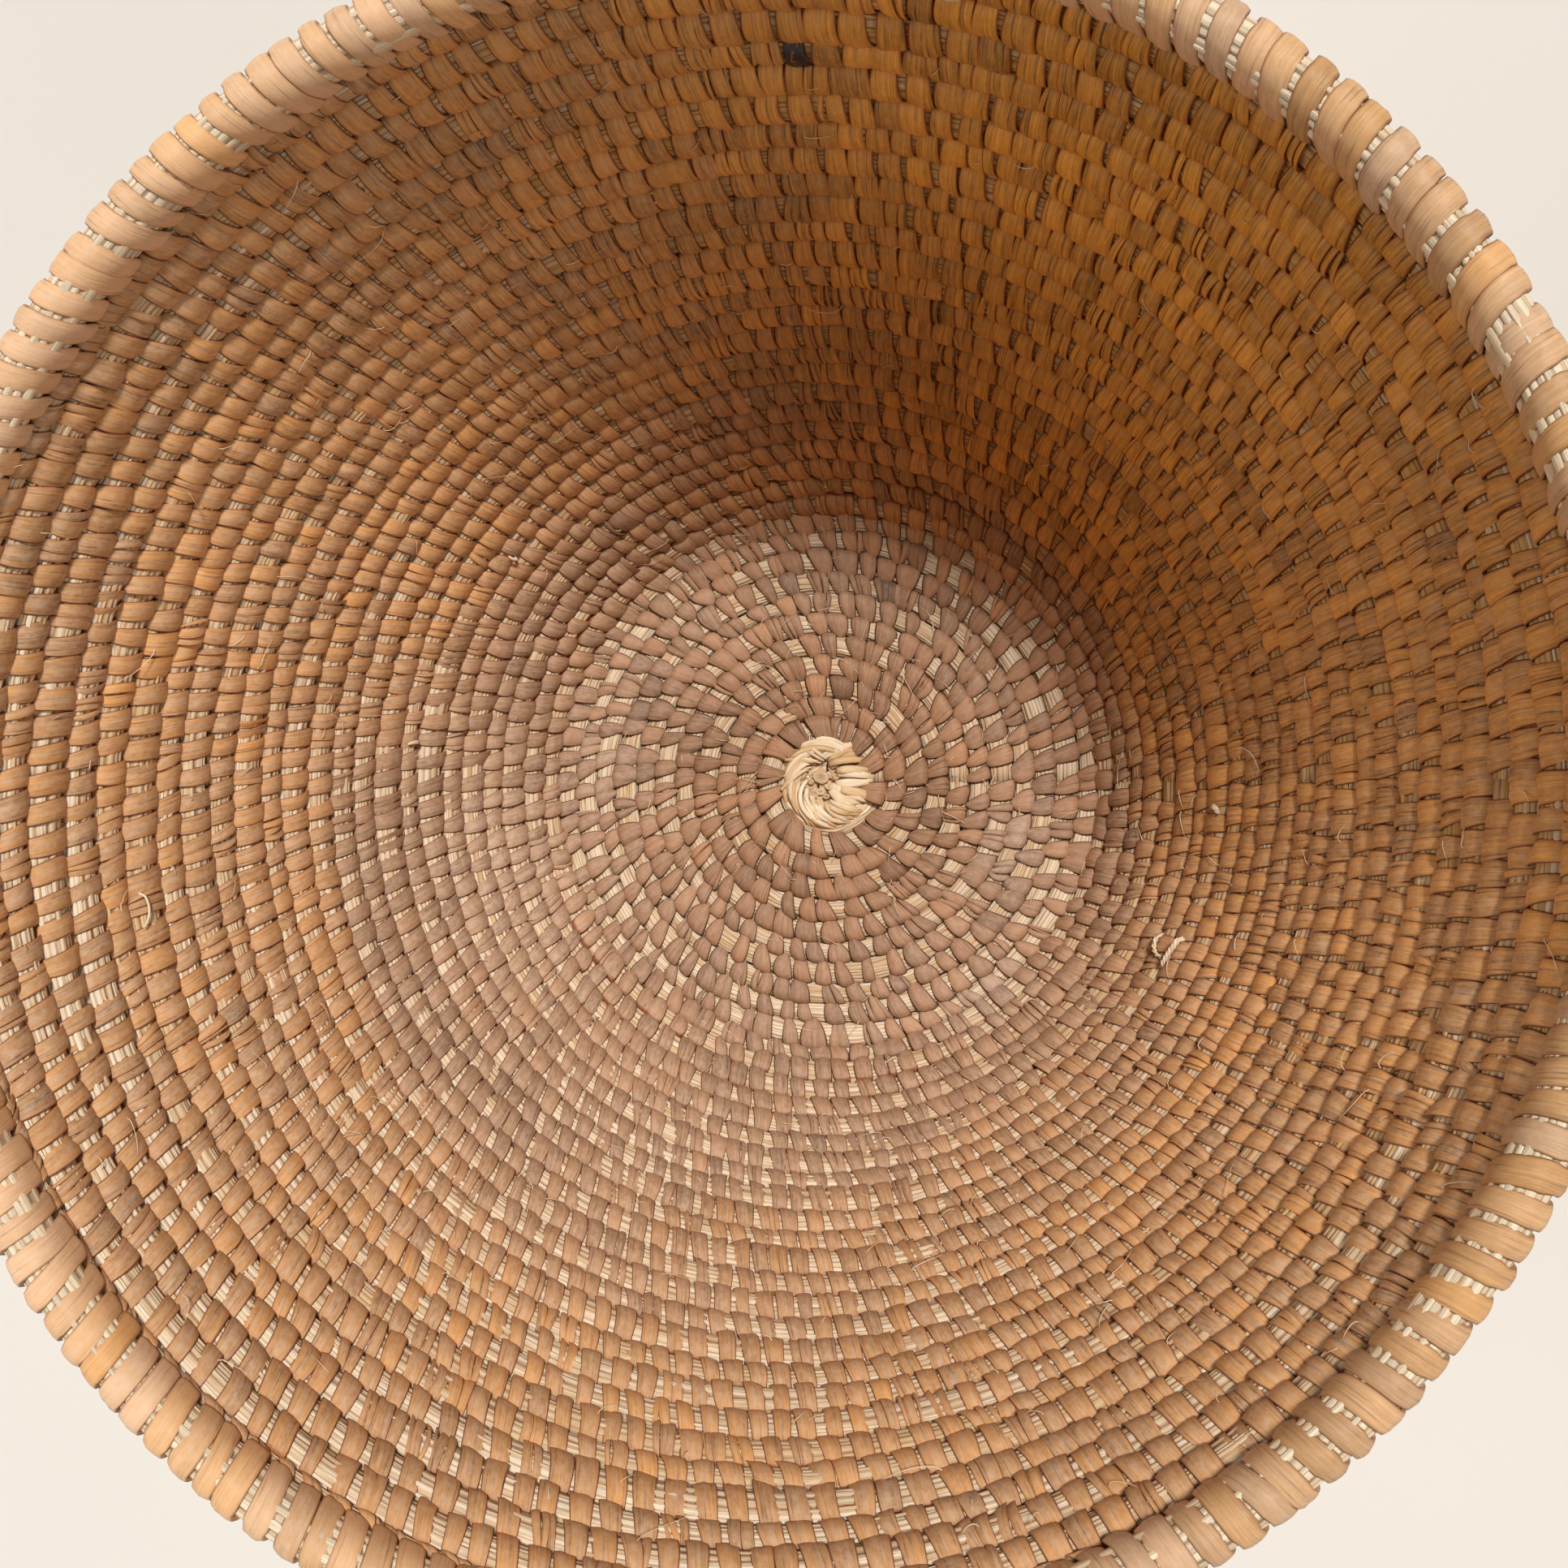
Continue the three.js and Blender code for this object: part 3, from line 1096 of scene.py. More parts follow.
@dataclass
class LooseFibres:
    """Thin ends of grass and leaf that stand out from between the stitches."""

    row: Row
    first: float
    last: float
    seed: int
    count: int = 15
    rings: int = 10
    sides: int = 6
    lengths: Span = (2.0, 1.5)
    shortest: float = 1.0
    turned: float = 0.7
    roots: Span = (-1.6, 1.6)
    rises: Span = (0.05, 0.5)
    bedded: float = 0.1
    rooting: float = 0.9
    root_share: float = 0.25
    outside_share: float = 0.25
    half_widths: Span = (0.05, 0.1)
    thinned: float = 0.75
    tones: Span = (0.3, 1.0)
    ages: Span = (0.0, 0.5)
    pattern_step: float = 2.3

    def build(self, mesh: PieceMesh, region: Region) -> None:
        """Adds the fibres to a piece, each rooted in its row.

        Args:
            mesh: The piece's mesh.
            region: Their part of the bake's map.
        """
        random = np.random.default_rng(self.seed)
        size = (self.count, 1)
        turn = random.uniform(self.first, self.last, size)
        step = np.linspace(0.0, 1.0, self.rings)[None]
        length = random.gamma(*self.lengths, size) + self.shortest
        heading = random.normal(0.0, self.turned, size) + math.pi * random.integers(0, 2, size)
        angle = heading + random.normal(0.0, self.turned, size) * step
        along, onward = walked(angle, length / (self.rings - 1))
        onward = onward + random.uniform(*self.roots, size)
        rise = random.uniform(*self.rises, size)
        rooted = self.rooting * (1.0 - ease(step / self.root_share))
        lift = self.row.half_thickness(turn) - self.bedded + rise * np.sin(math.pi * step) - rooted
        outside = (turn > self.row.bowl.wall_start) & (random.uniform(size=size) < self.outside_share)
        path = self.row.place(turn + 0.0 * step, along, onward, np.where(outside, -lift, lift))
        radii = random.uniform(*self.half_widths, size) * (1.0 - self.thinned * step**2) * MM
        tubes = tubes_along(path, radii, np.ones(self.count), self.sides)
        tone = random.uniform(*self.tones, self.count)
        age = random.uniform(*self.ages, self.count)
        values = strand_values(tubes, radii, tone, age, self.seed * self.pattern_step)
        mesh.add(tubes, values, 1, region)


@dataclass(frozen=True)
class LooseBit:
    """A loose end that catches the eye: where it is rooted, how it runs and what it is twisted of."""

    turn: float
    onward: float
    length: float
    heading: float
    curl: float
    half_width: float
    strands: int = 1
    twists: float = 2.5
    lift: float = 0.35
    rings: int = 28
    sides: int = 8
    strand_gap: float = 0.95
    rooting: float = 1.1
    root_share: float = 0.2
    thinned: float = 0.5
    tones: Span = (0.7, 1.0)
    ages: Span = (0.0, 0.25)
    pattern_step: float = 1.1

    def build(self, mesh: PieceMesh, row: Row, seed: int, region: Region) -> None:
        """Adds the bit to a piece.

        Args:
            mesh: The piece's mesh.
            row: The row that it is rooted in.
            seed: Start of its own unevenness.
            region: Its part of the bake's map.
        """
        random = np.random.default_rng(seed)
        step = np.linspace(0.0, 1.0, self.rings)[None]
        angle = np.radians(self.heading + self.curl * step)
        wound = FULL_TURN * self.twists * step + ring_angles(self.strands)[:, None]
        apart = self.half_width * (0.0 if self.strands == 1 else self.strand_gap)
        along, climbed = walked(angle, self.length / (self.rings - 1))
        along = along - apart * np.cos(wound) * np.sin(angle)
        onward = self.onward + climbed + apart * np.cos(wound) * np.cos(angle)
        rooted = self.rooting * (1.0 - ease(step / self.root_share))
        rise = self.lift * np.sin(math.pi * step) ** 0.5 + apart * np.sin(wound) - rooted
        turn = np.full_like(along, self.turn)
        path = row.place(turn, along, onward, row.half_thickness(turn) + rise)
        radii = np.broadcast_to(self.half_width * (1.0 - self.thinned * step**4) * MM, along.shape)
        tubes = tubes_along(path, radii, np.ones(self.strands), self.sides)
        tone = random.uniform(*self.tones, self.strands)
        age = random.uniform(*self.ages, self.strands)
        mesh.add(tubes, strand_values(tubes, radii, tone, age, seed * self.pattern_step), 1, region)


class Stray(Enum):
    """The loose bits seen in the bowl."""

    CURVED_STRAW = LooseBit(29.528, 2.0, 6.6, -40.0, 85.0, 0.2)
    THICK_TWIST = LooseBit(17.94, 0.6, 7.2, 188.0, 12.0, 0.3, strands=3, lift=0.6)
    HOOKED_TWIST = LooseBit(16.937, -0.6, 6.6, 205.0, -125.0, 0.24, strands=2, lift=0.5)
    SMALL_SCRAP = LooseBit(17.99, 0.4, 2.4, 70.0, 100.0, 0.3, strands=2)
    PALE_SCRAP = LooseBit(18.484, -1.4, 2.8, 100.0, -40.0, 0.42)
    PALE_CHIP = LooseBit(17.396, -2.2, 2.4, 60.0, 40.0, 0.34)
    LONG_HAIR = LooseBit(19.01, 0.2, 10.0, 60.0, 110.0, 0.08)
    TOP_HAIR = LooseBit(22.23, -2.0, 8.0, -30.0, 70.0, 0.09)


@dataclass(frozen=True)
class StitchCount:
    """Stitches sewn in one turn, counted on the photograph and eased between the counted rows."""

    rows: tuple[float, ...] = (0.0, 1.0, 3.0, 5.0, 8.0, 10.0, 11.0, 14.0, 17.0, 21.0, 24.0, 27.0, 37.0)
    counts: tuple[float, ...] = (
        13.0, 17.0, 30.0, 43.0, 57.0, 70.0, 76.0, 98.0, 115.0, 133.0, 143.0, 148.0, 154.0,
    )
    table_size: int = 7001

    def density(self, turn: Array) -> Array:
        """Stitches to a turn after so many turns."""
        return np.interp(turn, self.rows, self.counts)

    def places(self, first: float, last: float) -> Array:
        """Turns at which the stitches of a stretch sit.

        Args:
            first: Turns wound at the stretch's start.
            last: Turns wound at its end.

        Returns:
            One number of turns to a stitch.
        """
        turns = np.linspace(0.0, self.rows[-1], self.table_size)
        density = self.density(turns)
        total = np.concatenate([[0.0], np.cumsum((density[1:] + density[:-1]) / 2.0 * np.diff(turns))])
        low, high = np.interp([first, last], turns, total)
        return np.interp(np.arange(math.ceil(low), math.ceil(high)), total, turns)


@dataclass
class StripSet:
    """Leaf strips wrapped over a row, each with its own place, size and look."""

    turn: Array
    width: Array
    taper: Array
    tongue: Array
    reach: Array
    lean: Array
    advance: Array
    bow: Array
    tilt: Array
    lift: Array
    crown: Array
    fold: Array
    shift: Array
    tone: Array
    warmth: Array
    dust_and_painted_light: Array
    stain: Array


class StripWay(Enum):
    """Ways of a strip round a row's section.

    Each knot gives the place along the profile, the place square to it and the width, all as shares.
    A tongue is narrow where it comes out of the row below and broad where it turns over the row.
    A scale is broad where it starts on the row below and narrows on its way up.
    A whip goes round the rim from the row under it.
    """

    TONGUE = (
        (-1.16, 0.02, 0.26), (-1.1, 0.32, 0.38), (-1.0, 0.5, 0.5), (-0.84, 0.66, 0.63), (-0.6, 0.82, 0.77),
        (-0.3, 0.95, 0.89), (0.0, 1.02, 0.96), (0.28, 1.06, 1.0), (0.54, 1.04, 1.0), (0.76, 0.94, 0.98),
        (0.92, 0.74, 0.93), (1.02, 0.42, 0.86), (1.06, 0.0, 0.8),
    )
    SCALE = (
        (-1.18, 0.12, 0.6), (-1.13, 0.37, 0.8), (-1.03, 0.55, 0.93), (-0.85, 0.71, 1.0), (-0.6, 0.87, 1.0),
        (-0.3, 0.98, 0.98), (0.0, 1.02, 0.94), (0.3, 0.98, 0.88), (0.57, 0.87, 0.81), (0.78, 0.7, 0.74),
        (0.92, 0.5, 0.68), (1.0, 0.28, 0.64), (1.03, 0.02, 0.62),
    )
    WHIP = (
        (-1.2, 0.14, 0.55), (-1.17, 0.38, 0.74), (-1.09, 0.54, 0.88), (-0.96, 0.64, 0.95), (-0.8, 0.72, 1.0),
        (-0.57, 0.84, 1.0), (-0.3, 0.95, 1.0), (0.0, 1.0, 1.0), (0.32, 0.95, 1.0), (0.6, 0.8, 1.0),
        (0.82, 0.57, 1.0), (0.95, 0.3, 1.0), (1.0, 0.0, 1.0),
    )
    BACK = (
        (1.03, -0.36, 0.78), (0.88, -0.75, 0.82), (0.62, -0.93, 0.86), (0.3, -1.0, 0.88), (0.0, -1.0, 0.86),
        (-0.3, -0.99, 0.82), (-0.6, -0.94, 0.76), (-0.88, -0.8, 0.66), (-1.08, -0.55, 0.5),
        (-1.16, -0.15, 0.36),
    )

    def laid(self) -> Array:
        """The whole way as an array, the back of the row added."""
        return np.array(self.value + StripWay.BACK.value)


@dataclass(frozen=True)
class StripShape:
    """How thick a strip is, how deep it sits in the row, and the points across it."""

    strip: float = 0.34
    inset: float = 0.36
    low_way: StripWay = StripWay.SCALE
    high_way: StripWay = StripWay.TONGUE
    top_across: tuple[float, ...] = (-1.0, -0.84, -0.46, 0.0, 0.46, 0.84, 1.0)
    under_across: tuple[float, ...] = (0.7, 0.0, -0.7)
    # how strongly a strip's tucked ends take the painted edge shade
    crevice_shade: float = 1.0
    least_width: float = 0.16
    bunching: float = 0.7
    arch_power: float = 3.0
    under_arch: float = 0.5
    fold_step: float = 2.4
    fold_beat: float = 4.4
    pattern_step: float = 1.37
    tuck_over: Span = (0.7, 0.4)
    tuck_under: Span = (0.9, 0.3)

    def build(self, mesh: PieceMesh, row: Row, strips: StripSet, seed: int) -> None:
        """Adds the strips to a piece.

        Args:
            mesh: The piece's mesh.
            row: The row that the strips wrap.
            strips: What sets each strip apart.
            seed: Start of the strips' own fibre pattern.
        """
        ways = mixed(self.low_way.laid(), self.high_way.laid(), strips.tongue[:, None, None])
        place = ways[..., 0] * np.where(ways[..., 0] < 0.0, strips.reach[:, None], 1.0)
        onward = place * row.half_width(strips.turn)[:, None]
        inward = ways[..., 1] * (row.half_thickness(strips.turn)[:, None] - self.inset)
        run_on = np.gradient(onward, axis=1)
        run_in = np.gradient(inward, axis=1)
        run = np.hypot(run_on, run_in)
        out_on = -run_in / run
        out_in = run_on / run
        across = np.array(self.top_across + self.under_across)
        is_top = np.arange(len(across)) < len(self.top_across)
        width = np.maximum(1.0 - (1.0 - ways[..., 2]) * strips.taper[:, None], self.least_width)
        along = self.leaning(strips, place) + strips.shift[:, None] * width
        reach = across * strips.width[:, None, None] / 2.0 * width[..., None]
        bunched = strips.crown[:, None] * (1.0 + self.bunching * (1.0 - width))
        arched = bunched[..., None] * (1.0 - np.abs(across) ** self.arch_power)
        number = np.arange(len(strips.turn))
        wave = np.sin(seed + self.fold_step * number[:, None] + self.fold_beat * across)
        folded = (strips.fold[:, None] * wave * (1.0 - across**2))[:, None]
        height = np.where(is_top, arched, arched * self.under_arch - self.strip) + folded
        height = height + strips.lift[:, None, None] + strips.tilt[:, None, None] * across
        shape = np.broadcast_shapes(height.shape, reach.shape)
        points = row.place(
            np.broadcast_to(strips.turn[:, None, None], shape),
            along[..., None] + reach,
            onward[..., None] + out_on[..., None] * height,
            inward[..., None] + out_in[..., None] * height,
        )
        length = np.cumsum(np.hypot(run, np.gradient(along, axis=1)), axis=1)
        pattern = (seed + number)[:, None, None] * self.pattern_step
        fibre = stacked(reach, length[..., None], pattern)
        look = stacked(strips.tone, strips.warmth, strips.dust_and_painted_light)
        look = np.broadcast_to(look[:, None, None], (*shape, 3))
        # painted shade: a strip's ends, where they tuck under the next row or into the crevice, count as edge,
        # and the finish darkens them
        turned = mixed(*self.tuck_over, strips.tongue)[:, None]
        over = ease((ways[..., 0] - turned) / (1.0 - turned))
        under = risen(-ways[..., 0], *self.tuck_under)
        ends = self.crevice_shade * np.maximum(over, under)
        edge = np.broadcast_to(np.maximum(np.abs(across), ends[..., None]), shape)
        stain = np.broadcast_to(strips.stain[:, None, None], shape)
        mesh.add(points, {"fibre": fibre, "look": look, "edge": edge, "stain": stain})

    @staticmethod
    def leaning(strips: StripSet, place: Array) -> Array:
        """Millimetres that each strip has moved on along the row at each knot.

        Args:
            strips: The strips.
            place: Shares along the profile, by strip and knot.

        Returns:
            Millimetres by strip and knot.
        """
        knots = np.arange(place.shape[1])
        front = len(StripWay.SCALE.value)
        climbed = np.where(knots < front, place / 2.1, 0.5)
        behind = ease((knots - front + 1) / (len(knots) - front))
        bowed = strips.bow[:, None] * np.where(knots < front, 1.0 - (climbed * 2.0) ** 2, 0.0)
        return strips.lean[:, None] * climbed + bowed + (strips.advance - strips.lean)[:, None] * behind


@dataclass(frozen=True)
class Patch:
    """A worn or stained spot: turns and degrees of its middle, its reach in both, and its strength."""

    turn: float
    degrees: float
    turns: float
    spread: float
    strength: float

    def at(self, turn: Array) -> Array:
        """The spot's strength after so many turns."""
        side = aside(turn, self.degrees) / self.spread
        away = (turn - self.turn) / self.turns
        return self.strength * np.exp(-(side**2) - away**2)


@dataclass(frozen=True)
class Weathering:
    """Where the leaf is warm and where use has left it dusty, with painted light laid over it: paler on the
    bowl's lit side, saturated on its shaded side.
    """

    dusty_rows: float = 17.0
    fade_rows: float = 8.0
    drift_angle: float = 225.0
    drift_rows: float = 6.0
    # painted light: the bowl's shaded side, where the leaf keeps its saturated colour, and the pale laid on its
    # lit side
    shaded_angle: float = 55.0
    shaded_spread: float = 66.0
    lit_side_pallor: float = 0.6
    shaded_side_dust: float = 0.03
    edge_wander: float = 2.5
    trodden: Span = (0.22, 0.45)
    trodden_rows: Span = (2.5, 5.0)
    # painted light: how much the heel's dust follows the lit side
    heel_lit_side: Span = (0.1, 1.1)
    heel_rows: Span = (6.5, 4.0)
    patches: Wander = Wander(31, most_round=4)
    shades: Wander = Wander(32, most_round=9, drift=0.3)
    gaps: Wander = Wander(33, most_round=5, drift=0.35)
    dust_spots: tuple[Patch, ...] = (
        Patch(6.7, -22.0, 1.3, 11.0, 0.55),
        Patch(10.6, -51.0, 1.5, 8.0, 0.6),
        Patch(8.8, 175.0, 1.6, 10.0, 0.35),
        Patch(14.0, 195.0, 3.0, 20.0, 0.5),
    )
    stain_spots: tuple[Patch, ...] = (
        Patch(32.2, 84.2, 0.7, 2.1, 1.25),
        Patch(32.4, 147.7, 0.3, 0.9, 0.9),
    )

    def warmth(self, turn: Array) -> Array:
        """0 on dusty leaf, 1 on clean warm leaf."""
        side = facing(turn, self.drift_angle)
        edge = self.dusty_rows + self.drift_rows * side + self.edge_wander * self.patches.at(turn)
        return ease((turn - edge) / self.fade_rows + 0.5)

    def dust_and_painted_light(self, turn: Array) -> Array:
        """How much pale dust lies on the leaf, with painted light: much on the bowl's lit side, little on its
        shaded side.
        """
        warmth = self.warmth(turn)
        # painted light: 0 on the bowl's shaded side, 1 on its lit side
        lit_side = 1.0 - np.exp(-((aside(turn, self.shaded_angle) / self.shaded_spread) ** 2))
        spots = sum(spot.at(turn) for spot in self.dust_spots)
        lit = mixed(1.0, mixed(*self.heel_lit_side, lit_side), risen(turn, *self.heel_rows))
        trodden = mixed(*self.trodden, risen(turn, *self.trodden_rows)) * lit
        return mixed(trodden, mixed(self.shaded_side_dust, self.lit_side_pallor, lit_side), warmth) + spots

    def stain(self, turn: Array) -> Array:
        """How dark the leaf is stained."""
        return sum(spot.at(turn) for spot in self.stain_spots)


@dataclass(frozen=True)
class Graded:
    """A measure of the stitches by zone: at the knot, on the base, low and high on the wall.

    The wall's open side, where the stitches stand apart, has a low and a high value of its own.
    """

    knot: float
    base: float
    low: float
    high: float
    open_low: float
    open_high: float

    @classmethod
    def on_wall(cls, base: float, wall: float) -> "Graded":
        """A measure that only the wall changes."""
        return cls(base, base, wall, wall, wall, wall)


class Zones:
    """In which zones the stitches lie, as shares that ease into each other."""

    def __init__(self, turn: Array, bowl: Bowl) -> None:
        """Works the shares out for stitches after so many turns."""
        self.first_row = 1.0 - risen(turn, 0.0, 1.3)
        self.begun = risen(turn, 0.0, 4.0)
        self.walled = risen(turn, 9.5, 6.0)
        self.high = risen(turn, 14.0, 7.0)
        self.sparse = bowl.open_side(turn) ** 0.7
        self.heel = np.exp(-(((turn - 9.8) / 1.4) ** 2))

    def of(self, measure: Graded) -> Array:
        """A graded measure at each stitch."""
        flat = mixed(measure.knot, measure.base, self.begun)
        packed = mixed(measure.low, measure.high, self.high)
        apart = mixed(measure.open_low, measure.open_high, self.high)
        return mixed(flat, mixed(packed, apart, self.sparse), self.walled)


@dataclass
class Sewing:
    """The sewing of one stretch of the spiral: a leaf strip split off for every stitch."""

    row: SpiralRow
    first: float
    last: float
    seed: int
    count: StitchCount = StitchCount()
    weather: Weathering = Weathering()
    shape: StripShape = StripShape()
    split_share: float = 0.2
    curled_share: float = 0.05
    lean_angle: float = 245.0
    crowding: Wander = Wander(34, most_round=9, drift=0.5)
    crowded: float = 0.4
    broad: Graded = Graded(0.85, 0.85, 1.05, 1.05, 0.95, 0.82)
    heel_gap: float = 0.1
    uneven_gap: float = 0.05
    width_spread: Graded = Graded.on_wall(0.13, 0.08)
    taper: Graded = Graded(0.35, 0.8, 1.2, 0.55, 1.2, 0.55)
    uneven: Span = (0.6, 1.4)
    base_lean: float = 1.1
    low_lean: Span = (1.4, 0.25)
    high_lean: Span = (1.15, 0.7)
    lean_spread: Graded = Graded.on_wall(0.42, 0.25)
    crown: Graded = Graded(0.25, 0.5, 0.3, 0.3, 0.17, 0.17)
    row_tone_spread: float = 0.05
    shade_depth: float = 0.1
    heel_painted_light: float = 0.28
    tone_spread: Span = (0.13, 0.115)
    warmth_spread: float = 0.05
    dust_and_light_uneven: Span = (0.82, 1.18)
    dust_and_light_range: Span = (0.02, 0.9)
    flat_tilt: float = 0.13
    curled_tilt: float = 0.26
    lift_spread: float = 0.055
    curled_lift: float = 0.12
    first_lift: float = 0.6
    first_reach: float = 0.75
    open_reach: float = 1.1
    reach_spread: float = 0.05
    tongue_spread: float = 0.12
    place_spread: Graded = Graded.on_wall(0.12, 0.06)
    split_parts: tuple[int, ...] = (2, 2, 3)
    split_weight: Span = (0.3, 1.5)
    split_spread: float = 0.1
    split_crown: float = 0.7
    split_lean: float = 0.35
    split_tilt: float = 0.07
    split_lift: float = 0.09
    split_tone: float = 0.06
    bow_spread: float = 0.17
    fold_spread: float = 0.05
    pattern_step: int = 400

    def strips(self) -> StripSet:
        """Draws each stitch's own place, size and look.

        Returns:
            The strips of the stretch.
        """
        random = np.random.default_rng(self.seed)
        turn = self.count.places(self.first, self.last)
        total = len(turn)
        spacing = self.row.arc(turn) / self.count.density(turn)
        zones = Zones(turn, self.row.bowl)
        broad = zones.of(self.broad) - self.heel_gap * zones.heel * zones.sparse
        broad = broad + self.uneven_gap * self.weather.gaps.at(turn)
        width = spacing * broad * random.normal(1.0, zones.of(self.width_spread))
        taper = zones.of(self.taper) * random.uniform(*self.uneven, total)
        side = facing(turn, self.lean_angle)
        low_lean, high_lean = (least + swing * side for least, swing in (self.low_lean, self.high_lean))
        lean = mixed(self.base_lean, mixed(low_lean, high_lean, zones.high), zones.walled)
        lean = lean + random.normal(0.0, zones.of(self.lean_spread))
        crown = zones.of(self.crown) * random.uniform(*self.uneven, total)
        tone = random.normal(1.0, self.row_tone_spread) + self.shade_depth * self.weather.shades.at(turn)
        # painted light: the heel is lightened on the bowl's shaded side
        tone = tone + self.heel_painted_light * zones.heel * (1.0 - zones.sparse)
        tone = tone + random.normal(0.0, mixed(*self.tone_spread, zones.high))
        warmth = self.weather.warmth(turn) + random.normal(0.0, self.warmth_spread, total)
        warmth = np.clip(warmth, 0.0, 1.0)
        # dust with painted light: paler on the bowl's lit side
        dust_and_painted_light = np.clip(self.weather.dust_and_painted_light(turn) * random.uniform(*self.dust_and_light_uneven, total), *self.dust_and_light_range)
        curled = random.uniform(size=total) < self.curled_share
        tilt = random.normal(0.0, np.where(curled, self.curled_tilt, self.flat_tilt))
        lift = random.normal(0.0, self.lift_spread, total) + np.where(curled, self.curled_lift, 0.0)
        lift = lift + self.first_lift * zones.first_row
        wall_reach = mixed(1.0, self.open_reach, zones.sparse)
        reach = mixed(1.0 + self.first_reach * zones.first_row, wall_reach, zones.walled)
        reach = reach * random.normal(1.0, self.reach_spread, total)
        tongue = np.clip(1.0 - zones.walled + random.normal(0.0, self.tongue_spread, total), 0.0, 1.0)
        filled = np.sqrt(self.count.density(turn) / self.count.counts[-1])
        crowded = self.crowded * filled * self.crowding.at(turn)
        drift = random.uniform(-0.5, 0.5) + random.normal(0.0, zones.of(self.place_spread)) + crowded
        jitter = drift * spacing / self.row.arc(turn)
        is_split = random.uniform(size=total) < self.split_share
        parts = np.where(is_split, random.choice(self.split_parts, total), 1)
        which = np.repeat(np.arange(total), parts)
        strands = len(which)
        weight = random.uniform(*self.split_weight, strands)
        share = weight / np.bincount(which, weight)[which]
        middle = np.cumsum(share) - which - share / 2.0 - 0.5
        loose = (parts[which] > 1) * 1.0
        return StripSet(
            turn=turn[which] + jitter[which],
            width=width[which] * share * (1.0 + self.split_spread * loose),
            taper=taper[which],
            tongue=tongue[which],
            reach=reach[which],
            lean=lean[which] + loose * random.normal(0.0, self.split_lean, strands),
            advance=spacing[which],
            bow=random.normal(0.0, self.bow_spread, strands),
            tilt=tilt[which] + loose * random.normal(0.0, self.split_tilt, strands),
            lift=lift[which] + loose * random.normal(0.0, self.split_lift, strands),
            crown=crown[which] * mixed(1.0, self.split_crown, loose),
            fold=np.abs(random.normal(0.0, self.fold_spread, strands)) * share,
            shift=middle * width[which],
            tone=tone[which] + loose * random.normal(0.0, self.split_tone, strands),
            warmth=warmth[which],
            dust_and_painted_light=dust_and_painted_light[which],
            stain=self.weather.stain(turn)[which],
        )

    def build(self, mesh: PieceMesh) -> None:
        """Adds the stretch's stitches to a piece."""
        self.shape.build(mesh, self.row, self.strips(), self.seed * self.pattern_step)


class Stretch(Enum):
    """The spiral's stretches: name of the pieces, name of the node, finish and slot of the leaf."""

    BASE = ("base", "base_coil", Finish.BASE_LEAF, "base_leaf")
    HEEL = ("heel", "heel_coil", Finish.BASE_LEAF, "base_leaf")
    WALL = ("wall", "wall_coil", Finish.WALL_LEAF, "wall_leaf")
    TAIL = ("tail", "wall_coil_tail", Finish.WALL_LEAF, "wall_leaf")


@dataclass
class Coil:
    """The sewn spiral, one turn at a time, from the knot to the tip of the tail."""

    bowl: Bowl
    row: SpiralRow
    grass_seed: int = 100
    sewing_seed: int = 200
    fibre_seed: int = 300
    stray_seed: int = 400
    rise_rows: Span = (8.0, 7.0)
    clear_rows: Span = (5.0, 3.0)
    inset: Span = (0.6, 0.46)
    age: Span = (0.12, 0.06)
    # how much the grass of the first rows is darkened towards the groove colour
    base_darkening: Span = (0.25, 0.0)
    sunk: float = 0.14
    # painted shade: how much browner and darker the far side's grass is laid
    age_and_shade_browning: float = 0.85
    shadowed: float = 0.45

    def turns(self) -> list[tuple[Stretch, str, float, float]]:
        """Lists each turn: its stretch, its number and the turns wound at its start and end."""
        bowl = self.bowl
        base = [(Stretch.BASE, f"_{n + 1:02d}", n, n + 1) for n in range(bowl.base_turns)]
        heel = [(Stretch.HEEL, "", bowl.base_turns, bowl.wall_start)]
        wall = [
            (Stretch.WALL, f"_{n + 1:02d}", bowl.wall_start + n, bowl.wall_start + n + 1)
            for n in range(bowl.wall_turns)
        ]
        return [*base, *heel, *wall, (Stretch.TAIL, "", bowl.tail_start, bowl.tail_end)]

    def build(self) -> None:
        """Builds and dresses every turn's grass and sewing."""
        for stretch, number, first, last in self.turns():
            stem, node, finish, slot = stretch.value
            grass = PieceMesh(f"{stem}_grass{number}")
            self.bundle(first, last).build(grass, (0.0, 0.0, 1.0, 0.9))
            fibres = LooseFibres(self.row, first, last, self.fibre_seed + int(first))
            fibres.build(grass, (0.0, 0.91, 0.8, 1.0))
            for place, stray in enumerate(s for s in Stray if first <= s.value.turn < last):
                region = (0.81 + 0.1 * place, 0.91, 0.9 + 0.1 * place, 1.0)
                stray.value.build(grass, self.row, self.stray_seed + int(first), region)
            grass.piece(Finish.BARE_GRASS, "bare_grass", node + number)
            sewn = PieceMesh(f"{stem}_stitches{number}")
            Sewing(self.row, first, last, self.sewing_seed + int(first)).build(sewn)
            sewn.piece(finish, slot, node + number)

    def bundle(self, first: float, last: float) -> GrassBundle:
        """Gathers the grass of one turn; the higher the turn, the more its far side sinks and takes painted
        shade, darker and browner.

        Args:
            first: Turns wound at its start.
            last: Turns wound at its end.

        Returns:
            The bundle.
        """
        up = float(risen(first, *self.rise_rows))
        return GrassBundle(
            self.row,
            first,
            last,
            self.grass_seed + int(first),
            inset=mixed(*self.inset, up),
            age=mixed(*self.age, up),
            sunk=self.sunk * up,
            age_and_shade_browning=self.age_and_shade_browning * up,
            base_darkening=mixed(*self.base_darkening, risen(first, *self.clear_rows)),
            shadowed=self.shadowed * up,
        )


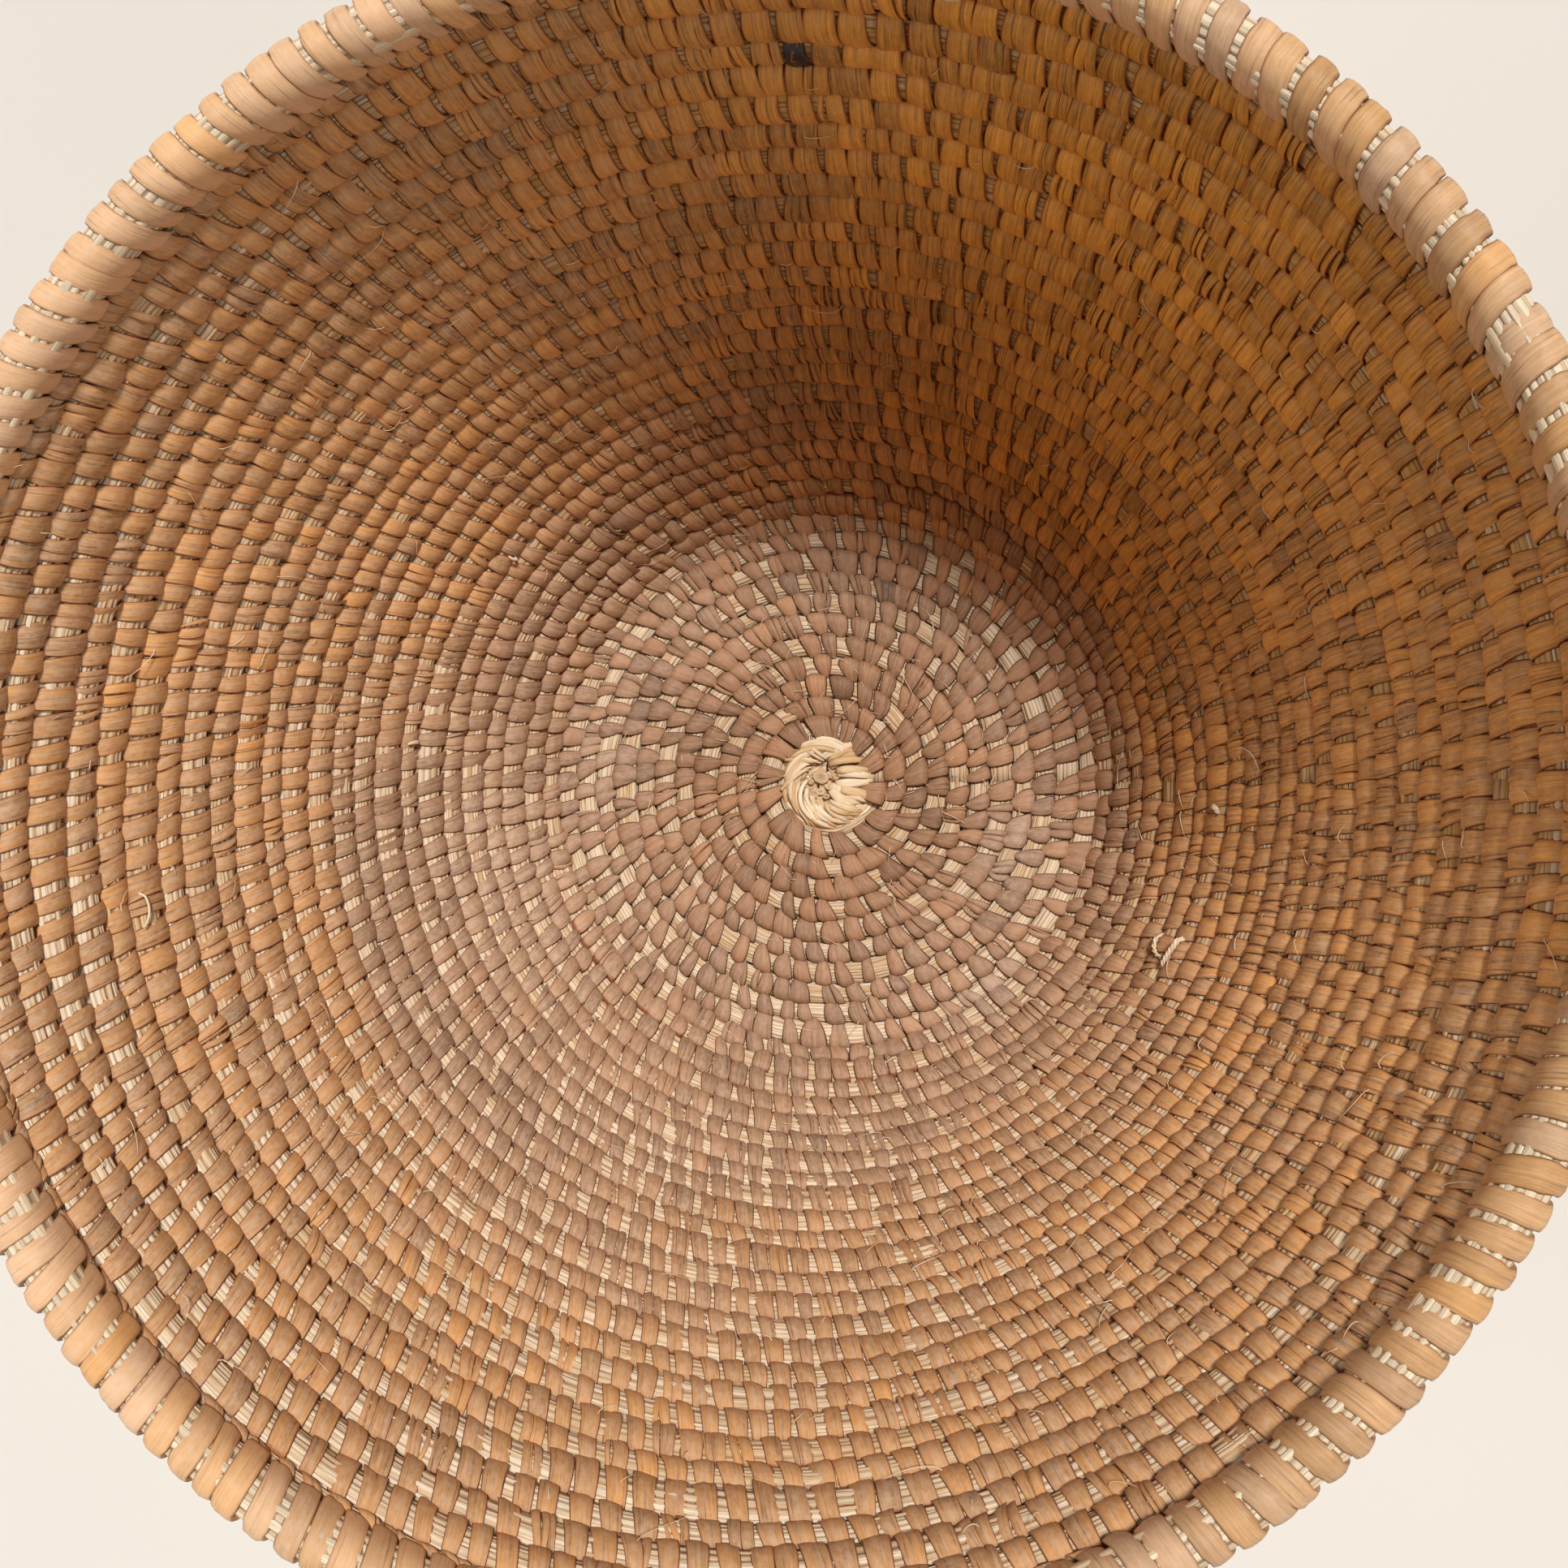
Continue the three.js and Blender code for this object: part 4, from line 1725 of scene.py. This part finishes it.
@dataclass
class Rim:
    """The whipped ring on the wall's top edge."""

    row: RimRow
    wraps: int = 165
    # painted light: the side, in degrees, towards which the wraps are laid lighter and paler, and how much
    painted_light_angle: float = 165.0
    painted_light_share: float = 0.22
    advance: float = 3.2
    seam: float = 0.0005
    seed: int = 77
    grass_seed: int = 91
    pattern_seed: int = 9000

    def strips(self) -> StripSet:
        """Draws each wrap's own place, size and look.

        Returns:
            The wraps.
        """
        random = np.random.default_rng(self.seed)
        total = self.wraps
        turn = (np.arange(total) + 0.5 + random.normal(0.0, 0.06, total)) / total
        spacing = self.row.arc(turn) / total
        # painted light: the rim is lighter and paler towards one side
        painted_light = self.painted_light_share * facing(turn, self.painted_light_angle)
        return StripSet(
            turn=turn,
            width=spacing * random.normal(0.9, 0.055, total),
            taper=random.uniform(0.2, 1.0, total),
            tongue=np.zeros(total),
            reach=random.uniform(0.94, 1.12, total),
            lean=random.normal(2.2, 0.35, total),
            advance=np.full(total, self.advance),
            bow=random.normal(0.0, 0.15, total),
            tilt=random.normal(0.0, 0.08, total),
            lift=random.normal(0.0, 0.06, total),
            crown=random.uniform(0.2, 0.36, total),
            fold=np.abs(random.normal(0.0, 0.05, total)),
            shift=np.zeros(total),
            tone=1.08 + random.normal(0.0, 0.09, total) + painted_light,
            warmth=np.clip(random.normal(0.55, 0.3, total), 0.0, 1.0),
            dust_and_painted_light=np.clip(random.normal(0.22, 0.1, total) + painted_light, 0.0, 0.7),
            stain=np.zeros(total),
        )

    def build(self) -> None:
        """Builds and dresses the ring's grass and its wraps."""
        grass = PieceMesh("rim_grass")
        ends = (self.seam, 1.0 - self.seam)
        bundle = GrassBundle(self.row, *ends, self.grass_seed, inset=0.64, squareness=2.0, bands=12)
        bundle.build(grass)
        grass.piece(Finish.RIM_GRASS, "rim_grass", "rim_coil")
        wraps = PieceMesh("rim_wraps")
        shape = StripShape(strip=0.6, inset=0.66, low_way=StripWay.WHIP, high_way=StripWay.WHIP, crevice_shade=0.0)
        shape.build(wraps, self.row, self.strips(), self.pattern_seed)
        wraps.piece(Finish.RIM_LEAF, "rim_leaf", "rim_binding")


@dataclass(frozen=True)
class Tuft:
    """A fan of strands in the knot, each value going from the first strand's to the last one's."""

    count: int
    start_radius: Span
    start_degrees: Span
    end_radius: Span
    end_degrees: Span
    height: Span
    half_width: Span
    flatness: float
    sink: Span = (1.2, 2.2)
    straight: float = 0.0
    tip_age: float = 0.25
    rings: int = 14
    sides: int = 8
    share_stray: float = 0.3
    radius_stray: Span = (0.3, 0.5)
    degrees_stray: Span = (4.0, 5.0)
    height_stray: float = 0.42
    width_stray: float = 0.08
    beats: Span = (0.8, 2.2)
    starts: Span = (0.0, 6.0)
    wave_aside: float = 0.22
    wave_up: float = 0.15
    outward: float = 1.15
    dip_share: float = 0.22
    tuck_share: Span = (0.72, 0.28)
    least_height: float = 0.7
    tones: Span = (-0.2, 1.5)
    most_age: float = 0.8
    age_power: float = 2.6
    pattern_step: float = 1.9

    @staticmethod
    def spread(random: np.random.Generator, share: Array, span: Span, uneven: float) -> Array:
        """Goes through a span strand by strand, each a little off.

        Args:
            random: The tuft's own chance.
            share: How far through the tuft each strand stands.
            span: The first and the last strand's value.
            uneven: How far the strands stray from it.

        Returns:
            One value to a strand, as a column.
        """
        return (mixed(*span, share) + random.normal(0.0, uneven, len(share)))[:, None]

    def build(self, mesh: PieceMesh, seed: int, region: Region) -> None:
        """Adds the strands to the knot.

        Args:
            mesh: The knot's mesh.
            seed: Start of the tuft's own unevenness.
            region: Its part of the bake's map.
        """
        random = np.random.default_rng(seed)
        share = (np.arange(self.count) + 0.5 + random.normal(0.0, self.share_stray, self.count)) / self.count
        way = np.linspace(0.0, 1.0, self.rings)[None]
        beat = random.uniform(*self.beats, (self.count, 1))
        wave = np.sin(math.pi * way * beat + random.uniform(*self.starts, (self.count, 1)))
        start = self.spread(random, share, self.start_radius, self.radius_stray[0])
        end = self.spread(random, share, self.end_radius, self.radius_stray[1])
        radius = mixed(start, end, way**self.outward) + self.wave_aside * wave
        start = self.spread(random, share, self.start_degrees, self.degrees_stray[0])
        end = self.spread(random, share, self.end_degrees, self.degrees_stray[1])
        degrees = mixed(start, end, way)
        sunk = self.sink[0] * (1.0 - ease(way / self.dip_share)) + self.sink[1] * risen(way, *self.tuck_share)
        height = self.spread(random, share, self.height, self.height_stray) - sunk + self.wave_up * wave
        angle = np.radians(degrees)
        swept = np.stack([radius * np.cos(angle), radius * np.sin(angle)], axis=-1)
        drawn = mixed(swept[:, :1], swept[:, -1:], way[..., None])
        flat = mixed(swept, drawn, self.straight)
        path = np.concatenate([flat, np.maximum(height, self.least_height)[..., None]], axis=-1) * MM
        swell = 0.55 + 0.45 * np.sin(math.pi * np.clip(way * 0.9 + 0.08, 0.0, 1.0))
        radii = np.abs(self.spread(random, share, self.half_width, self.width_stray)) * swell * MM
        tubes = tubes_along(path, radii, np.full(self.count, self.flatness), self.sides)
        tone = random.uniform(*self.tones, self.count)
        age = random.uniform(0.0, self.most_age, (self.count, 1)) ** self.age_power + self.tip_age * way**3
        mesh.add(tubes, strand_values(tubes, radii, tone, age, seed * self.pattern_step), 1, region)


@dataclass(frozen=True)
class CutStems:
    """Ends of cut stems that stand up in the middle of the knot."""

    places: tuple[tuple[float, float, float], ...] = (
        (-0.9, 1.4, 1.7), (-5.2, 1.5, 1.0), (-5.7, -0.7, 0.8), (-4.4, -1.6, 0.75),
        (-3.1, -2.8, 0.8), (-1.6, -3.4, 0.7), (-0.3, -2.1, 0.9), (1.3, -1.6, 0.8),
        (-2.4, -1.2, 0.9), (-3.6, 0.3, 0.6), (0.6, -3.6, 0.7), (1.6, 0.4, 0.9),
    )
    foot: float = 0.7
    top: float = 4.2
    bed_count: int = 40
    bed_top: float = 2.9
    bed_spacing: float = 1.05
    bed_half_width: float = 0.95
    ring_ways: tuple[float, ...] = (0.0, 0.5, 0.85, 0.97, 1.0, 0.985, 0.93)
    ring_sizes: tuple[float, ...] = (0.9, 1.0, 1.0, 0.94, 0.78, 0.5, 0.12)
    ring_crests: tuple[float, ...] = (1.0, 1.0, 1.0, 1.0, 0.95, 0.6, 0.3)
    sides: int = 10
    top_spread: float = 0.25
    tip_spread: float = 0.5
    oval: float = 0.16
    slant_spread: float = 0.16
    tones: Span = (0.2, 0.8)
    ages: Span = (0.0, 0.6)
    pattern_step: float = 1.3

    def build(self, mesh: PieceMesh, seed: int, region: Region) -> None:
        """Adds the stems, each leaning a little and cut off uneven, over a bed of shorter ones.

        Args:
            mesh: The knot's mesh.
            seed: Start of the stems' own unevenness.
            region: Their part of the bake's map.
        """
        random = np.random.default_rng(seed)
        golden_angle = math.radians(137.5)
        number = np.arange(self.bed_count)
        away = self.bed_spacing * np.sqrt(number + 0.5)
        wound = number * golden_angle
        sizes = np.full(self.bed_count, self.bed_half_width)
        bed = np.stack([away * np.cos(wound), away * np.sin(wound), sizes], axis=-1)
        spot = np.concatenate([np.array(self.places), bed])
        count = len(spot)
        tops = np.where(np.arange(count) < len(self.places), self.top, self.bed_top)
        way = np.array(self.ring_ways)[None]
        size = np.array(self.ring_sizes)[None]
        tall = random.normal(tops, self.top_spread)[:, None]
        tip = random.normal(0.0, self.tip_spread, (count, 2))
        place = spot[:, None, :2] + tip[:, None] * way[..., None]
        height = mixed(self.foot, tall, way)
        angle = ring_angles(self.sides)
        uneven = 1.0 + self.oval * np.sin(angle * 2.0 + random.uniform(0.0, 6.0, (count, 1)))
        reach = (spot[:, 2:] * size)[..., None] * uneven[:, None]
        slant = random.normal(0.0, self.slant_spread, (count, 2))
        east = reach * np.cos(angle)
        north = reach * np.sin(angle)
        up = height[..., None] + slant[:, :1, None] * east + slant[:, 1:, None] * north
        tubes = np.stack([place[..., :1] + east, place[..., 1:] + north, up], axis=-1) * MM
        tone = random.uniform(*self.tones, count)
        age = random.uniform(*self.ages, count)
        values = strand_values(tubes, reach.mean(axis=2) * MM, tone, age, seed * self.pattern_step)
        # darker towards the middle of each cut top, where it dips
        top_crest = np.array(self.ring_crests)[None, :, None]
        values["look"][..., 1] = np.broadcast_to(top_crest, tubes.shape[:3])
        mesh.add(tubes, values, 1, region)


class KnotPart(Enum):
    """The knot's strands and stems in order: the part, what its seed adds, and its part of the bake's map."""

    SWIRL = (
        Tuft(18, (6.2, 4.0), (66.0, 215.0), (9.4, 10.4), (178.0, 312.0), (4.3, 4.1), (0.5, 0.68), 0.75),
        1,
        (0.5, 0.0, 1.0, 0.32),
    )
    BRIM = (
        Tuft(8, (8.6, 6.4), (20.0, 66.0), (10.2, 9.0), (110.0, 160.0), (3.7, 4.2), (0.5, 0.66), 0.7),
        2,
        (0.5, 0.33, 1.0, 0.49),
    )
    TIPS = (
        Tuft(
            9, (4.6, 4.8), (84.0, 172.0), (9.2, 9.6), (112.0, 212.0), (4.8, 4.5), (0.42, 0.55), 0.7,
            sink=(0.8, 0.7), straight=0.6,
        ),
        6,
        (0.5, 0.83, 0.74, 1.0),
    )
    TWIST = (
        Tuft(
            7, (5.0, 3.6), (268.0, 312.0), (9.6, 10.6), (300.0, 342.0), (4.9, 4.6), (0.5, 0.62), 0.8,
            straight=0.3, tip_age=0.9,
        ),
        7,
        (0.75, 0.83, 1.0, 1.0),
    )
    NEST = (
        Tuft(12, (3.6, 4.4), (205.0, 300.0), (9.8, 10.8), (252.0, 338.0), (4.4, 4.1), (0.5, 0.8), 0.65),
        3,
        (0.0, 0.5, 0.49, 0.74),
    )
    FAN = (
        Tuft(
            11, (4.4, 1.4), (112.0, -58.0), (10.6, 11.8), (54.0, -40.0), (5.0, 4.4), (0.7, 1.25), 0.34,
            straight=0.6, tip_age=0.5,
        ),
        4,
        (0.5, 0.5, 1.0, 0.82),
    )
    STEMS = (CutStems(), 5, (0.0, 0.75, 0.49, 1.0))


@dataclass
class StartKnot:
    """The bare knot that the spiral starts from: a wound core, a swirl of strands, a fan and cut stems."""

    bowl: Bowl
    row: SpiralRow
    seed: int = 61

    def build(self) -> None:
        """Builds and dresses the knot."""
        grass = PieceMesh("knot_grass")
        core = GrassBundle(self.row, -self.bowl.knot_turns, 0.0, self.seed, inset=0.9, step=1.0)
        core.build(grass, (0.0, 0.0, 0.49, 0.49))
        for knot_part in KnotPart:
            strands, added, region = knot_part.value
            strands.build(grass, self.seed + added, region)
        grass.piece(Finish.BARE_GRASS, "bare_grass", "start_knot")


@dataclass(frozen=True)
class Light:
    """A light turned to the basket, so many degrees round and up."""

    name: str
    azimuth: float
    height: float

    def source(self) -> tuple[bpy.types.Light, float]:
        """Makes the light itself and says how many metres off it hangs."""
        raise NotImplementedError

    def build(self) -> None:
        """Hangs the light."""
        light, distance = self.source()
        light.color = WARM_WHITE
        hung = linked(self.name, light)
        azimuth = math.radians(self.azimuth)
        height = math.radians(self.height)
        level = math.cos(height)
        toward = Vector((math.cos(azimuth) * level, math.sin(azimuth) * level, math.sin(height)))
        hung.location = toward * distance
        hung.rotation_euler = toward.to_track_quat("Z", "Y").to_euler()


@dataclass(frozen=True)
class Daylight(Light):
    """Soft light from far away: its strength and the degrees that its source spans."""

    strength: float
    spread: float
    distance: float = 3.0

    def source(self) -> tuple[bpy.types.Light, float]:
        """Makes a far light."""
        light = bpy.data.lights.new(self.name, "SUN")
        light.energy = self.strength
        light.angle = math.radians(self.spread)
        return light, self.distance


@dataclass(frozen=True)
class Lamp(Light):
    """A soft rectangular lamp, in metres and watts."""

    distance: float
    wide: float
    tall: float
    power: float

    def source(self) -> tuple[bpy.types.Light, float]:
        """Makes a soft box."""
        light = bpy.data.lights.new(self.name, "AREA")
        light.shape = "RECTANGLE"
        light.size = self.wide
        light.size_y = self.tall
        light.energy = self.power
        return light, self.distance


@dataclass
class Studio:
    """A plain pale table, light from high on one side, two weak low lights, and the camera over the bowl."""

    table_colour: Colour = (0.72, 0.685, 0.64)
    table_half: float = 40.0
    table_cloud: Grain = Grain((9.0, 9.0, 9.0), 5.0)
    table_shades: Span = (0.97, 0.06)
    table_roughness: float = 0.75
    table_gloss: float = 0.2
    room_colour: Colour = (1.0, 0.98, 0.95)
    wall_colour: Colour = (0.87, 0.85, 0.81)
    camera_place: tuple[float, float, float] = (0.0387, -0.0010, 0.2985)
    camera_right: tuple[float, float, float] = (0.98716, 0.0, -0.15974)
    camera_up: tuple[float, float, float] = (0.0003, 1.0, 0.0020)
    lens: float = 31.68
    sensor: float = 36.0
    nearest: float = 0.005
    sky_strength: float = 0.14
    lamps: tuple[Light, ...] = (
        Daylight("window_light", 60.0, 65.0, 3.05, 12.0),
        Lamp("left_light", 190.0, 27.0, 2.6, 1.8, 0.9, 19.0),
        Lamp("right_light", -42.0, 27.0, 2.6, 1.8, 0.9, 14.0),
    )

    def build(self) -> None:
        """Sets the table, the light and the camera."""
        self.build_table()
        self.build_light()
        self.build_camera()

    def build_table(self) -> None:
        """Lays a wide pale table top under the basket."""
        mesh = bpy.data.meshes.new("table_top")
        corners = [(-1, -1), (1, -1), (1, 1), (-1, 1)]
        places = [(x * self.table_half, y * self.table_half, 0.0) for x, y in corners]
        mesh.from_pydata(places, [], [(0, 1, 2, 3)])
        made, tree = ShaderTree.of_material("pale_table")
        cloud = self.table_cloud.over(tree, tree.shade("ShaderNodeTexCoord", "Object", {}, {}))
        least, more = self.table_shades
        colour = tree.tinted(self.table_colour, least + cloud * more)
        tree.surfaced(
            {"Base Color": colour, "Roughness": self.table_roughness, "Specular IOR Level": self.table_gloss}
        )
        mesh.materials.append(made)
        table = linked("table_top", mesh)

    def build_light(self) -> None:
        """Hangs the soft lamps and sets a pale sky."""
        for lamp in self.lamps:
            lamp.build()
        world = bpy.data.worlds.new("pale_room")
        bpy.context.scene.world = world
        world.use_nodes = True
        tree = ShaderTree(world.node_tree)
        path = tree.node("ShaderNodeLightPath", {}, {})
        rays = [Shade(tree, path.outputs[f"Is {kind} Ray"]) for kind in ("Camera", "Glossy", "Transmission")]
        seen = tree.limited(rays[0] + rays[1] + rays[2])
        backgrounds = []
        for colour, strength in ((self.room_colour, self.sky_strength), (self.wall_colour, 1.0)):
            sockets = {"Color": (*colour, 1.0), "Strength": strength}
            backgrounds.append(tree.shade("ShaderNodeBackground", "Background", {}, sockets))
        room, wall = backgrounds
        sockets = {"Fac": seen, "Shader": room, "Shader_001": wall}
        both = tree.shade("ShaderNodeMixShader", "Shader", {}, sockets)
        tree.node("ShaderNodeOutputWorld", {}, {"Surface": both})

    def build_camera(self) -> None:
        """Sets the camera over the bowl, a little to one side, as the photograph was taken."""
        data = bpy.data.cameras.new("over_the_bowl")
        data.lens = self.lens
        data.sensor_width = self.sensor
        data.clip_start = self.nearest
        camera = linked("over_the_bowl", data)
        right = Vector(self.camera_right).normalized()
        back = right.cross(Vector(self.camera_up)).normalized()
        up = back.cross(right)
        turned = Matrix((right, up, back)).transposed().to_4x4()
        camera.matrix_world = Matrix.Translation(Vector(self.camera_place)) @ turned
        bpy.context.scene.camera = camera


def main() -> None:
    """Builds the basket's pieces and the studio in order."""
    logging.basicConfig(level=logging.INFO, format="%(name)s: %(message)s")
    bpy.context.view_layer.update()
    bowl = Bowl()
    row = SpiralRow(bowl)
    StartKnot(bowl, row).build()
    Coil(bowl, row).build()
    Rim(RimRow(bowl)).build()
    Studio().build()
    bpy.context.scene.view_settings.view_transform = "Standard"


if __name__ == "__main__":
    main()
